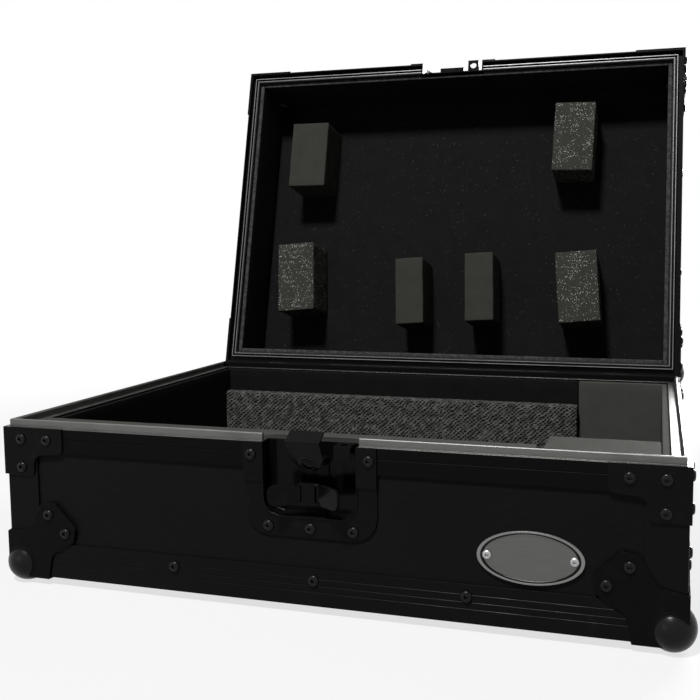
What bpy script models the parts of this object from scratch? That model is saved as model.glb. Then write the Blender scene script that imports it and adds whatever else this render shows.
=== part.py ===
"""Flight case for a media player: ply panels in aluminium edging, foam inside, lid open on its rear hinges.

X runs to the right, Y to the back and Z up, in metres. The origin is the middle of the underside of the
bottom panel. The lid's pieces are laid out as if it were shut and hang on an empty on the hinge axis,
which turns them to the open rest position.
"""

import math

import bmesh
import bpy
from mathutils import Matrix, Vector

# Overall
case_width = 0.560
case_depth = 0.389
base_height = 0.1292
lid_height = 0.086
lid_opening = math.radians(103.7)
lid_gap = 0.0005
seat_gap = 0.0003
cut_past = 0.010

# Panels and edging
ply = 0.009
edging_wall = 0.0015
edging_flange = 0.030
edging_rib_depth = 0.0004
edging_rib_half = 0.0004
edging_rib_steps = (0.0077, 0.0135, 0.0188)
rim_flange = 0.021
rim_groove_drop = 0.009
rim_inner_flange = 0.009
tongue_height = 0.006
tongue_inset = 0.0024
tongue_thickness = 0.0032
tongue_chamfer = 0.0012
groove_clearance = 0.0014
channel_width = 0.002
channel_depth = 0.0015

# Corner hardware
hardware_wall = 0.0012
ball_radius = 0.0225
ball_proud = 0.007
lobe_root = 0.038
lobe_waist = (0.042, 0.020)
lobe_shoulder = (0.064, 0.033)
lobe_tip = (0.066, 0.046)
lobe_corners = (0.010, 0.003, 0.004)
brace_reach = 0.056
brace_height = 0.041
brace_arm = 0.028
brace_bar = 0.021
lid_brace_arm = 0.0195
lid_brace_bar = 0.0165
brace_slope = 0.003
brace_corner = 0.004
brace_inner_corner = 0.008

# Latch
latch_x = -0.002
dish_half_width = 0.055
dish_drop = 0.0745
dish_joggle_drop = 0.030
dish_corner = 0.020
recess_half_width = 0.0384
recess_drop = 0.0576
recess_depth = 0.012
recess_corner = 0.012
rotor_drop = 0.039
rotor_half_width = 0.0102
rotor_half_thickness = 0.002
rotor_corner = 0.004
rotor_ear = 0.002
rotor_shaft_radius = 0.004
wing_hinge_offset = 0.008
wing_hinge_proud = 0.0012
wing_reach = 0.025
wing_half_height = 0.0085
wing_neck = 0.0034
wing_thickness = 0.002
wing_corner = 0.0065
wing_neck_corner = 0.001
wing_barrel_radius = 0.0018
wing_pin_radius = 0.0008
wing_lift = math.radians(32)
slide_half_width = 0.012
slide_thickness = 0.0012
slide_foot = 0.0085
slot_clearance = 0.001
pivot_pin_radius = 0.0012
pivot_knuckle_radius = 0.003
pivot_web_half = 0.0024
hook_barrel_radius = 0.0026
hook_barrel_half = 0.0054
hook_pivot_drop = 0.0144
hook_pivot_depth = 0.006
hook_tilt = math.radians(31)
hook_half_width = 0.014
hook_reach = 0.0247
hook_step = 0.007
hook_lip = 0.0122
hook_thickness = 0.0015
hook_foot = 0.003
hook_shoulder = 0.009
hook_corner = 0.006
hook_boss_radius = 0.0075
hook_boss_height = 0.0015
latch_stroke = 0.008
strike_half_width = 0.015
strike_reach = 0.005
strike_thickness = 0.0012
keeper_rise = 0.030
keeper_joggle = 0.024
keeper_height = 0.044
keeper_corner = 0.012
keeper_foam_gap = 0.003
lug_leg_drop = 0.0116
lug_offset = 0.0275
lug_half_width = 0.0068
lug_hole_radius = 0.0038
lug_thickness = 0.002

# Rear hinges
hinge_inset = 0.110
hinge_standoff = 0.005
hinge_half_width = 0.0285
hinge_leaf_height = 0.0205
hinge_knuckle_half = 0.013
hinge_knuckle_end = 0.0252
hinge_knuckle_radius = 0.003
hinge_pin_radius = 0.0014
hinge_stop_reach = 0.009
hinge_stop_foot = 0.016

# Carrying handle
handle_half_length = 0.064
handle_margin = 0.0006
handle_flange = 0.012
handle_depth = 0.0098
handle_corner = 0.008
handle_recess_corner = 0.004
handle_grip_radius = 0.0048
handle_grip_gap = 0.008
handle_arm_margin = 0.008
handle_axle_margin = 0.0045
handle_bar_margin = 0.0085
handle_wire_radius = 0.003
handle_bend = 0.0034
handle_lug = 0.004

# Badge
badge_inset = 0.1105
badge_rise = 0.0243
badge_half_width = 0.0395
badge_half_height = 0.020
badge_border = 0.0028

# Foam
floor_foam = 0.010
liner_foam = 0.0045
liner_drop = 0.0015
front_foam = 0.017
front_pad_rise = 0.0032
rear_pad_foam = 0.0135
rear_pad_drop = 0.0274
compartment_width = 0.109
compartment_foam = 0.0064
compartment_block_gap = 0.004
compartment_block_depth = 0.049
lid_foam = 0.0025
lid_wall_foam = 0.005
lid_foam_rise = 0.0045
block_depth = 0.052
foam_edge = 0.0012

# Foam blocks in the lid: the side of the lid that each keeps to in X and Y, its middle's offset from there,
# its size in X and Y, and its turn in degrees
lid_blocks = {
    "front_left": ((-1, -1), (0.0825, 0.1075), (0.051, 0.0875), 0),
    "front_right": ((1, -1), (-0.1285, 0.0955), (0.050, 0.088), 1.5),
    "back_left": ((-1, 1), (0.078, -0.1155), (0.050, 0.090), -4.8),
    "back_middle_left": ((0, 1), (-0.047, -0.0985), (0.0365, 0.085), -4),
    "back_middle_right": ((0, 1), (0.042, -0.1045), (0.0365, 0.086), -3),
    "back_right": ((1, 1), (-0.118, -0.1055), (0.050, 0.087), -5),
}

# Values that follow from the sizes above
half_width = case_width / 2
half_depth = case_depth / 2
edging_proud = edging_wall + seat_gap
hardware_proud = hardware_wall + seat_gap
edging_underside = -edging_proud
parting_z = base_height - edging_proud
lid_bottom = parting_z + lid_gap
lid_top = parting_z + lid_height
ply_outer_x = half_width - edging_proud
ply_outer_y = half_depth - edging_proud
ply_inner_x = ply_outer_x - ply
ply_inner_y = ply_outer_y - ply
rim_inset = edging_proud + ply + seat_gap + edging_wall
foam_inset = rim_inset + seat_gap
foam_x = half_width - foam_inset
foam_y = half_depth - foam_inset
foam_z = ply + seat_gap
bay_floor = foam_z + floor_foam
hinge_y = half_depth + hinge_standoff
dish_face = -half_depth + edging_proud - hardware_proud
recess_back = -half_depth + recess_depth
rotor_z = parting_z - rotor_drop
wing_hinge_y = -half_depth - wing_hinge_proud
pivot_y = -half_depth + hook_pivot_depth
pivot_z = parting_z - hook_pivot_drop
hinge_x = half_width - hinge_inset
handle_low = edging_underside + edging_flange + handle_margin
handle_high = parting_z - rim_flange - handle_margin
handle_z = (handle_low + handle_high) / 2
handle_half_height = (handle_high - handle_low) / 2
handle_reach_y = handle_half_length - handle_flange
handle_reach_z = handle_half_height - handle_flange
handle_arm_y = handle_reach_y - handle_arm_margin
axle_x = -half_width + handle_depth - handle_grip_radius - seat_gap
axle_z = handle_z + handle_reach_z - handle_axle_margin
badge_x = half_width - badge_inset
badge_z = edging_underside + edging_flange + badge_rise
bay_end_x = half_width - compartment_width
notch_half_width = recess_half_width + hardware_wall + 2 * seat_gap

# Colour, roughness and metallic value of each finish
finishes = {
    "black_laminate": ((0.012, 0.012, 0.013), 0.42, 0.0),
    "black_edging": ((0.014, 0.014, 0.015), 0.34, 0.6),
    "satin_aluminium": ((0.50, 0.50, 0.48), 0.36, 1.0),
    "black_hardware": ((0.016, 0.016, 0.017), 0.30, 0.7),
    "badge_metal": ((0.36, 0.37, 0.36), 0.38, 1.0),
    "pin_steel": ((0.42, 0.42, 0.42), 0.30, 1.0),
    "handle_rubber": ((0.015, 0.015, 0.015), 0.70, 0.0),
    "black_foam": ((0.018, 0.018, 0.018), 0.95, 0.0),
    "textured_foam": ((0.040, 0.041, 0.038), 0.92, 0.0),
    "grey_foam": ((0.052, 0.052, 0.048), 0.90, 0.0),
    "block_foam": ((0.050, 0.050, 0.045), 0.92, 0.0),
}

z_axis = Vector((0, 0, 1))
front_plane = Matrix.Rotation(math.radians(90), 4, "X")
side_plane = Matrix(((0, 0, 1, 0), (1, 0, 0, 0), (0, 1, 0, 0), (0, 0, 0, 1)))
flat_plane = Matrix.Identity(4)


def clear_scene():
    for obj in list(bpy.data.objects):
        bpy.data.objects.remove(obj)


def new_collection(name, hidden=False):
    collection = bpy.data.collections.new(name)
    bpy.context.scene.collection.children.link(collection)
    collection.hide_render = hidden
    return collection


def make_materials():
    made = {}
    for name, (colour, roughness, metallic) in finishes.items():
        material = bpy.data.materials.new(name)
        material.use_nodes = True
        shader = material.node_tree.nodes["Principled BSDF"]
        shader.inputs["Base Color"].default_value = (*colour, 1)
        shader.inputs["Roughness"].default_value = roughness
        shader.inputs["Metallic"].default_value = metallic
        material.diffuse_color = (*colour, 1)
        made[name] = material
    return made


clear_scene()
parts = new_collection("media_player_flight_case")
cutters = new_collection("cutters", hidden=True)
materials = make_materials()


def add_object(name, mesh, finish=None, matrix=flat_plane):
    obj = bpy.data.objects.new(name, mesh)
    if finish:
        mesh.materials.clear()
        mesh.materials.append(materials[finish])
    obj.matrix_world = matrix
    parts.objects.link(obj)
    return obj


def as_tool(obj):
    """Moves a helper to the cutters, where it is drawn as wire and left out of the render."""
    parts.objects.unlink(obj)
    cutters.objects.link(obj)
    obj.hide_render = True
    obj.display_type = "WIRE"
    return obj


def combine(obj, tool, operation):
    modifier = obj.modifiers.new(operation.title() + " " + tool.name, "BOOLEAN")
    modifier.operation = operation
    modifier.object = as_tool(tool)
    return obj


def cut(obj, *tools):
    for tool in tools:
        combine(obj, tool, "DIFFERENCE")
    return obj


def weld_to(obj, *tools):
    for tool in tools:
        combine(obj, tool, "UNION")
    return obj


def evaluated_mesh(obj):
    graph = bpy.context.evaluated_depsgraph_get()
    return bpy.data.meshes.new_from_object(obj.evaluated_get(graph))


def remove_with_tools(obj):
    for tool in [modifier.object for modifier in obj.modifiers if modifier.type == "BOOLEAN"]:
        remove_with_tools(tool)
    bpy.data.objects.remove(obj)


def bake(obj, finish):
    """The object's mesh with its modifiers applied, for a piece that is used several times."""
    mesh = evaluated_mesh(obj)
    mesh.transform(obj.matrix_world)
    mesh.shade_smooth()
    mesh.set_sharp_from_angle(angle=math.radians(35))
    mesh.materials.clear()
    mesh.materials.append(materials[finish])
    remove_with_tools(obj)
    return mesh


def bevel(obj, width, segments=1, angle=40):
    modifier = obj.modifiers.new("Bevel", "BEVEL")
    modifier.width = width
    modifier.segments = segments
    modifier.limit_method = "ANGLE"
    modifier.angle_limit = math.radians(angle)
    return obj


def box(name, low, high, finish=None, matrix=flat_plane):
    bm = bmesh.new()
    bmesh.ops.create_cube(bm, size=1)
    size = Vector(high) - Vector(low)
    middle = (Vector(high) + Vector(low)) / 2
    bmesh.ops.scale(bm, vec=size, verts=bm.verts)
    bmesh.ops.translate(bm, vec=middle, verts=bm.verts)
    mesh = bpy.data.meshes.new(name)
    bm.to_mesh(mesh)
    bm.free()
    return add_object(name, mesh, finish, matrix)


def rod(name, radius, start, end, finish=None, sides=24):
    """A round bar from one point to another."""
    start = Vector(start)
    end = Vector(end)
    bm = bmesh.new()
    length = (end - start).length
    bmesh.ops.create_cone(bm, cap_ends=True, segments=sides, radius1=radius, radius2=radius, depth=length)
    mesh = bpy.data.meshes.new(name)
    bm.to_mesh(mesh)
    bm.free()
    mesh.shade_smooth()
    mesh.set_sharp_from_angle(angle=math.radians(40))
    turn = z_axis.rotation_difference(end - start).to_matrix().to_4x4()
    return add_object(name, mesh, finish, Matrix.Translation((start + end) / 2) @ turn)


def ball(name, radius, centre, sides=24, rings=16):
    bm = bmesh.new()
    bmesh.ops.create_uvsphere(bm, u_segments=sides, v_segments=rings, radius=radius)
    mesh = bpy.data.meshes.new(name)
    bm.to_mesh(mesh)
    bm.free()
    mesh.shade_smooth()
    return add_object(name, mesh, None, Matrix.Translation(centre))


def rounded(points, radii, steps=3):
    """The outline with each corner replaced by an arc; a radius of 0 keeps the corner."""
    outline = []
    for index, (point, radius) in enumerate(zip(points, radii)):
        corner = Vector(point)
        if radius == 0:
            outline.append(corner)
            continue
        before = (Vector(points[index - 1]) - corner).normalized()
        after = (Vector(points[(index + 1) % len(points)]) - corner).normalized()
        half = before.angle(after) / 2
        centre = corner + (before + after).normalized() * radius / math.sin(half)
        first = corner + before * radius / math.tan(half) - centre
        last = corner + after * radius / math.tan(half) - centre
        start = math.atan2(first.y, first.x)
        sweep = (math.atan2(last.y, last.x) - start + math.pi) % (2 * math.pi) - math.pi
        for step in range(steps + 1):
            angle = start + sweep * step / steps
            outline.append(centre + Vector((math.cos(angle), math.sin(angle))) * radius)
    return outline


def rectangle(low_x, low_y, high_x, high_y):
    return [(low_x, low_y), (high_x, low_y), (high_x, high_y), (low_x, high_y)]


def ellipse(half_x, half_y, steps=40):
    turns = [2 * math.pi * step / steps for step in range(steps)]
    return [(half_x * math.cos(turn), half_y * math.sin(turn)) for turn in turns]


def plate(name, outlines, low, high, plane=flat_plane, finish=None):
    """A flat outline, with any holes as further outlines, filled and extruded from low to high along the
    plane's normal. On front_plane the outline is (X, Z) and low and high count along -Y; on side_plane it is
    (Y, Z) and they count along X."""
    curve = bpy.data.curves.new(name, "CURVE")
    curve.dimensions = "2D"
    curve.fill_mode = "BOTH"
    curve.extrude = (high - low) / 2
    for points in outlines:
        spline = curve.splines.new("POLY")
        spline.points.add(len(points) - 1)
        for spot, (x, y) in zip(spline.points, points):
            spot.co = (x, y, 0, 1)
        spline.use_cyclic_u = True
    return add_object(name, converted(curve), finish, plane @ Matrix.Translation((0, 0, (high + low) / 2)))


def tube(name, points, radius):
    """A round bar bent along the points."""
    curve = bpy.data.curves.new(name, "CURVE")
    curve.dimensions = "3D"
    curve.bevel_depth = radius
    curve.bevel_resolution = 3
    curve.use_fill_caps = True
    spline = curve.splines.new("POLY")
    spline.points.add(len(points) - 1)
    for spot, point in zip(spline.points, points):
        spot.co = (*point, 1)
    return add_object(name, converted(curve))


def converted(curve):
    """The curve's evaluated mesh, with its caps sewn to its sides."""
    source = bpy.data.objects.new(curve.name, curve)
    parts.objects.link(source)
    bpy.context.view_layer.update()
    mesh = evaluated_mesh(source)
    bpy.data.objects.remove(source)
    bm = bmesh.new()
    bm.from_mesh(mesh)
    bmesh.ops.remove_doubles(bm, verts=bm.verts, dist=0.00001)
    bmesh.ops.recalc_face_normals(bm, faces=bm.faces)
    bm.to_mesh(mesh)
    bm.free()
    return mesh


def mitred_frame(name, profile, half_x, half_y, finish):
    """An extrusion's profile of (inset from the outer face, height) swept round a rectangle: one copy of the
    profile in each corner's mitre plane, joined to the next."""
    bm = bmesh.new()
    loops = []
    for sign_x, sign_y in ((-1, -1), (1, -1), (1, 1), (-1, 1)):
        spots = [(sign_x * (half_x - inset), sign_y * (half_y - inset), z) for inset, z in profile]
        loops.append([bm.verts.new(spot) for spot in spots])
    for side in range(4):
        here = loops[side]
        following = loops[(side + 1) % 4]
        for index in range(len(profile)):
            after = (index + 1) % len(profile)
            bm.faces.new((here[index], following[index], following[after], here[after]))
    bmesh.ops.recalc_face_normals(bm, faces=bm.faces)
    mesh = bpy.data.meshes.new(name)
    bm.to_mesh(mesh)
    bm.free()
    return add_object(name, mesh, finish)


def corner_places(z, upside_down=False):
    """A matrix for each corner of the case, for a piece drawn with its corner at the origin and the case
    towards +X and +Y. Such a piece is alike in X and Y, so turning it about that diagonal flips it over."""
    flip = Matrix.Rotation(math.pi, 4, Vector((1, 1, 0))) if upside_down else flat_plane
    spots = {"front_left": (-1, -1), "front_right": (1, -1), "back_right": (1, 1), "back_left": (-1, 1)}
    for quarter, (name, (sign_x, sign_y)) in enumerate(spots.items()):
        move = Matrix.Translation((sign_x * half_width, sign_y * half_depth, z))
        yield name, move @ Matrix.Rotation(quarter * math.pi / 2, 4, "Z") @ flip


# Panels


def base_panels():
    wall_low = ply + seat_gap
    wall_high = parting_z - edging_wall - seat_gap
    side_y = ply_inner_y - seat_gap
    laminate = "black_laminate"
    box("base_bottom_panel", (-ply_outer_x, -ply_outer_y, 0), (ply_outer_x, ply_outer_y, ply), laminate)
    front = box(
        "base_front_panel",
        (-ply_outer_x, -ply_outer_y, wall_low),
        (ply_outer_x, -ply_inner_y, wall_high),
        laminate,
    )
    cut(front, dish_hole("latch_hole", -recess_drop - hardware_wall - 2 * seat_gap, cut_past))
    box(
        "base_back_panel",
        (-ply_outer_x, ply_inner_y, wall_low),
        (ply_outer_x, ply_outer_y, wall_high),
        laminate,
    )
    left = box("base_left_panel", (-ply_outer_x, -side_y, wall_low), (-ply_inner_x, side_y, wall_high), laminate)
    cut(left, handle_hole("handle_hole"))
    box("base_right_panel", (ply_inner_x, -side_y, wall_low), (ply_outer_x, side_y, wall_high), laminate)


def dish_hole(name, low, high):
    """The opening for a latch dish through the front, from low to high of the parting plane."""
    corner = recess_corner + hardware_wall
    left = latch_x - notch_half_width
    right = latch_x + notch_half_width
    sides = rectangle(left, parting_z + low, right, parting_z + high)
    radii = (corner, corner, 0, 0) if abs(low) > abs(high) else (0, 0, corner, corner)
    return plate(name, [rounded(sides, radii)], ply_inner_y - cut_past, half_depth + cut_past, front_plane)


def handle_hole(name):
    sides = handle_rectangle(hardware_wall + seat_gap)
    corners = [handle_recess_corner] * 4
    return plate(name, [rounded(sides, corners)], -half_width - cut_past, -ply_inner_x + cut_past, side_plane)


def handle_rectangle(margin):
    """The handle dish's recess, grown by the margin, as an outline on side_plane."""
    reach_y = handle_reach_y + margin
    reach_z = handle_reach_z + margin
    return rectangle(-reach_y, handle_z - reach_z, reach_y, handle_z + reach_z)


# Edging


def ribbed_flange(height):
    """The outer face of an angle extrusion as (inset, distance from the case's end), with its rib grooves,
    from the end face to the flange's free edge."""
    points = [(0, 0)]
    for step in reversed(edging_rib_steps):
        middle = height - step
        points += [(0, middle - edging_rib_half), (edging_rib_depth, middle), (0, middle + edging_rib_half)]
    points += [(0, height), (edging_wall, height), (edging_wall, edging_wall)]
    points += [(height, edging_wall), (height, 0)]
    return points


def base_edging():
    profile = [(inset, edging_underside + rise) for inset, rise in ribbed_flange(edging_flange)]
    mitred_frame("base_edge_frame", profile, half_width, half_depth, "black_edging")
    low = edging_underside + edging_flange + seat_gap
    high = parting_z - rim_flange - seat_gap
    for name, place in corner_places(0):
        post = plate("base_corner_post_" + name, [angle_outline()], low, high, flat_plane, "black_edging")
        post.matrix_world = place @ post.matrix_world


def angle_outline():
    """The section of a corner post: two flanges with a rounded outer edge."""
    points = [
        (0, 0),
        (edging_flange, 0),
        (edging_flange, edging_wall),
        (edging_wall, edging_wall),
        (edging_wall, edging_flange),
        (0, edging_flange),
    ]
    return rounded(points, (edging_wall, 0, 0, 0, 0, 0))


def base_rim():
    """The tongue extrusion round the top of the base: outer flange, tongue, web and inner flange."""
    groove = parting_z - rim_groove_drop
    tongue_in = tongue_inset + tongue_thickness
    top = parting_z + tongue_height
    web = parting_z - edging_wall
    profile = [
        (0, parting_z - rim_flange),
        (0, groove - edging_rib_half),
        (edging_rib_depth, groove),
        (0, groove + edging_rib_half),
        (0, parting_z),
        (tongue_inset, parting_z),
        (tongue_inset, top - tongue_chamfer / 2),
        (tongue_inset + tongue_chamfer / 2, top),
        (tongue_in - tongue_chamfer, top),
        (tongue_in, top - tongue_chamfer),
        (tongue_in, parting_z),
        (rim_inset, parting_z),
        (rim_inset, parting_z - rim_inner_flange),
        (rim_inset - edging_wall, parting_z - rim_inner_flange),
        (rim_inset - edging_wall, web),
        (edging_wall, web),
        (edging_wall, parting_z - rim_flange),
    ]
    rim = mitred_frame("base_rim_frame", profile, half_width, half_depth, "black_edging")
    cut(rim, dish_hole("rim_notch", -recess_drop, cut_past))


def lid_rim():
    """The groove extrusion round the lid's edge, which takes the tongue when the lid is shut."""
    wall_in = tongue_inset + tongue_thickness + groove_clearance
    groove_top = lid_bottom + tongue_height + edging_wall / 2
    channel_in = wall_in + edging_wall
    channel_out = channel_in + channel_width
    top = groove_top + edging_wall
    profile = [
        (0, lid_bottom),
        (edging_wall, lid_bottom),
        (edging_wall, groove_top),
        (wall_in, groove_top),
        (wall_in, lid_bottom),
        (channel_in, lid_bottom),
        (channel_in, lid_bottom + channel_depth),
        (channel_out, lid_bottom + channel_depth),
        (channel_out, lid_bottom),
        (rim_inset, lid_bottom),
        (rim_inset, top + rim_inner_flange),
        (rim_inset - edging_wall, top + rim_inner_flange),
        (rim_inset - edging_wall, top),
        (edging_wall, top),
        (edging_wall, lid_bottom + rim_flange),
        (0, lid_bottom + rim_flange),
    ]
    rim = mitred_frame("lid_rim_frame", profile, half_width, half_depth, "black_edging")
    return cut(rim, dish_hole("lid_rim_notch", -cut_past, keeper_rise)), top


# Corner hardware


def base_corners():
    """The base's corner hardware. Returns the ball corner's mesh, which the lid uses as well."""
    ball_mesh = bake(ball_corner(), "black_hardware")
    for name, place in corner_places(edging_underside):
        add_object("base_ball_corner_" + name, ball_mesh, None, place)
    brace_mesh = bake(corner_brace(brace_arm, brace_bar), "black_hardware")
    for name, place in corner_places(parting_z):
        add_object("base_corner_brace_" + name, brace_mesh, None, place)
    return ball_mesh


def lid_corners(ball_mesh):
    """The lid's corner hardware, with narrower braces that stop short of the balls' lobes."""
    made = []
    brace_mesh = bake(corner_brace(lid_brace_arm, lid_brace_bar), "black_hardware")
    for name, place in corner_places(lid_top, upside_down=True):
        made.append(add_object("lid_ball_corner_" + name, ball_mesh, None, place))
    for name, place in corner_places(lid_bottom, upside_down=True):
        made.append(add_object("lid_corner_brace_" + name, brace_mesh, None, place))
    return made


def ball_corner():
    """A ball with three riveted lobes, one on each face of the corner, hollowed to fit over the edging."""
    half_lobe = [(lobe_root, -hardware_proud), lobe_waist, lobe_shoulder, lobe_tip]
    other_half = [(y, x) for x, y in reversed(half_lobe)]
    radii = (0, 0, *lobe_corners, *reversed(lobe_corners), 0)
    outline = rounded([(-hardware_proud, -hardware_proud), *half_lobe, *other_half], radii, steps=2)
    lobes = [
        plate("ball_lobe_front", [outline], seat_gap, hardware_proud, front_plane),
        plate("ball_lobe_side", [outline], -hardware_proud, -seat_gap, side_plane),
        plate("ball_lobe_end", [outline], -hardware_proud, -seat_gap, flat_plane),
    ]
    centre = Vector((1, 1, 1)) * (ball_radius - ball_proud)
    inner_face = -(seat_gap + hardware_proud) / 2
    sphere = ball("ball", ball_radius, centre)
    cut(sphere, box("ball_hollow", (inner_face,) * 3, (2 * ball_radius,) * 3))
    return weld_to(lobes[0], lobes[1], lobes[2], sphere)


def corner_brace(arm, bar):
    """An L-shaped plate folded round a vertical edge of the case at the parting plane."""
    shape = [
        (-hardware_proud, -brace_height),
        (arm, -brace_height),
        (arm, -bar - brace_slope),
        (brace_reach, -bar),
        (brace_reach, 0),
        (-hardware_proud, 0),
    ]
    outline = rounded(shape, (0, brace_corner, brace_inner_corner, brace_corner, 0, 0), steps=3)
    front = plate("brace_front", [outline], seat_gap, hardware_proud, front_plane)
    side = plate("brace_side", [outline], -hardware_proud, -seat_gap, side_plane)
    return weld_to(front, side)


# Latch


def latch_dish():
    """The pressed dish in the front: a flange stepped over the rim extrusion and a recess open at the top."""
    outer = -half_depth - hardware_proud
    top = parting_z - seat_gap
    step_z = parting_z - dish_joggle_drop
    bottom = parting_z - dish_drop
    left = latch_x - dish_half_width
    right = latch_x + dish_half_width
    lower = rounded(rectangle(left, bottom, right, step_z), (dish_corner, dish_corner, 0, 0), steps=4)
    dish = plate("latch_dish", [lower], -dish_face - hardware_wall, -dish_face, front_plane, "black_hardware")
    upper = box("dish_upper", (left, outer, step_z - hardware_wall), (right, outer + hardware_wall, top))
    inner = dish_face + hardware_wall
    joggle = box("dish_joggle", (left, outer, step_z - hardware_wall), (right, inner, step_z))
    tray = dish_tray("dish_tray", -recess_drop - hardware_wall, -seat_gap, hardware_wall)
    weld_to(dish, upper, joggle, tray)
    cut(dish, dish_tray("dish_recess", -recess_drop, cut_past, 0))
    lug = padlock_lug("latch_lug", parting_z - seat_gap - lug_thickness, parting_z - seat_gap)
    middle = latch_x + lug_offset
    leg = box(
        "latch_lug_leg",
        (middle - lug_half_width, outer, parting_z - lug_leg_drop),
        (middle + lug_half_width, outer + hardware_wall, top - lug_thickness / 2),
    )
    return weld_to(dish, lug, leg)


def dish_tray(name, low, high, wall):
    """The recess as a solid, grown by the wall; its deep corners are rounded."""
    half = recess_half_width + wall
    front = half_depth + (cut_past if wall == 0 else hardware_proud - hardware_wall / 2)
    corner = recess_corner + wall
    sides = rectangle(latch_x - half, parting_z + low, latch_x + half, parting_z + high)
    radii = (corner, corner, 0, 0) if abs(low) > abs(high) else (0, 0, corner, corner)
    return plate(name, [rounded(sides, radii)], -recess_back - wall, front, front_plane)


def padlock_lug(name, low, high):
    """A level tab with a hole, from the back of the recess to the front of the case."""
    middle = latch_x + lug_offset
    tab = box(
        name,
        (middle - lug_half_width, -half_depth - hardware_proud, low),
        (middle + lug_half_width, recess_back + hardware_wall / 2, high),
    )
    hole_y = -half_depth + lug_half_width - hardware_proud
    hole_from = (middle, hole_y, low - cut_past)
    return cut(tab, rod(name + "_hole", lug_hole_radius, hole_from, (middle, hole_y, high + cut_past)))


def latch_rotor():
    """The turning block: a shaft behind it and, between ears at each side, a pin for a wing."""
    half_z = wing_half_height
    sides = rectangle(
        latch_x - rotor_half_width, rotor_z - half_z, latch_x + rotor_half_width, rotor_z + half_z
    )
    front = -wing_hinge_y + rotor_half_thickness
    back = -wing_hinge_y - rotor_half_thickness
    outline = rounded(sides, [rotor_corner] * 4)
    block = plate("latch_rotor", [outline], back, front, front_plane, "black_hardware")
    slot_half = half_z - rotor_ear
    inner = wing_hinge_offset - wing_barrel_radius - 2 * seat_gap
    for side in (-1, 1):
        near = latch_x + side * inner
        far = latch_x + side * 2 * rotor_half_width
        slot = box(
            f"wing_slot_{side}",
            (min(near, far), wing_hinge_y - 2 * rotor_half_thickness, rotor_z - slot_half),
            (max(near, far), wing_hinge_y + 2 * rotor_half_thickness, rotor_z + slot_half),
        )
        cut(block, slot)
        middle = latch_x + side * wing_hinge_offset
        pin_half = slot_half + rotor_ear / 3
        pin = rod(
            f"wing_pin_{side}",
            wing_pin_radius,
            (middle, wing_hinge_y, rotor_z - pin_half),
            (middle, wing_hinge_y, rotor_z + pin_half),
            sides=12,
        )
        weld_to(block, pin)
    shaft = rod(
        "rotor_shaft",
        rotor_shaft_radius,
        (latch_x, wing_hinge_y, rotor_z),
        (latch_x, recess_back - seat_gap, rotor_z),
    )
    return weld_to(block, shaft)


def latch_wing(name, side):
    """One wing of the butterfly: a rounded paddle on its barrel, drawn flat and then lifted about its pin."""
    neck_half = wing_half_height - rotor_ear - seat_gap
    neck = side * wing_neck
    tip = side * wing_reach
    shape = [
        (0, -neck_half),
        (neck, -neck_half),
        (neck, -wing_half_height),
        (tip, -wing_half_height),
        (tip, wing_half_height),
        (neck, wing_half_height),
        (neck, neck_half),
        (0, neck_half),
    ]
    radii = (0, 0, wing_neck_corner, wing_corner, wing_corner, wing_neck_corner, 0, 0)
    half = wing_thickness / 2
    wing = plate(name, [rounded(shape, radii, steps=4)], -half, half, front_plane, "black_hardware")
    barrel = rod(name + "_barrel", wing_barrel_radius, (0, 0, -neck_half), (0, 0, neck_half), sides=16)
    bore = rod(name + "_bore", wing_pin_radius + seat_gap / 2, (0, 0, -cut_past), (0, 0, cut_past), sides=12)
    middle = latch_x + side * wing_hinge_offset
    lift = Matrix.Translation((middle, wing_hinge_y, rotor_z)) @ Matrix.Rotation(-side * wing_lift, 4, "Z")
    for piece in (wing, barrel, bore):
        piece.matrix_world = lift @ piece.matrix_world
    weld_to(wing, barrel)
    return cut(wing, bore)


def latch_slide():
    """The plate that the rotor draws down, slotted for the shaft, with the hook's pivot pin at its top."""
    back = recess_back - seat_gap
    front = back - slide_thickness
    top = pivot_z + pivot_knuckle_radius
    slide = box(
        "latch_slide",
        (latch_x - slide_half_width, front, rotor_z - slide_foot),
        (latch_x + slide_half_width, back, top),
        "black_hardware",
    )
    slot_half = rotor_shaft_radius + slot_clearance
    slot = rectangle(
        latch_x - slot_half, rotor_z - slot_half, latch_x + slot_half, rotor_z + latch_stroke + slot_half
    )
    slot_outline = rounded(slot, [rotor_shaft_radius] * 4)
    cut(slide, plate("shaft_slot", [slot_outline], -back - cut_past, -front + cut_past, front_plane))
    for side in (-1, 1):
        near = latch_x + side * (hook_barrel_half + 2 * seat_gap)
        far = latch_x + side * slide_half_width
        knuckle_from = (near, pivot_y, pivot_z)
        knuckle = rod(f"pivot_knuckle_{side}", pivot_knuckle_radius, knuckle_from, (far, pivot_y, pivot_z))
        web = box(
            f"pivot_web_{side}",
            (min(near, far), pivot_y, pivot_z - pivot_web_half),
            (max(near, far), front + slide_thickness / 2, pivot_z + pivot_web_half),
        )
        weld_to(slide, knuckle, web)
    pin_reach = (hook_barrel_half + slide_half_width) / 2
    pin = rod(
        "pivot_pin",
        pivot_pin_radius,
        (latch_x - pin_reach, pivot_y, pivot_z),
        (latch_x + pin_reach, pivot_y, pivot_z),
        sides=16,
    )
    return weld_to(slide, pin)


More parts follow.
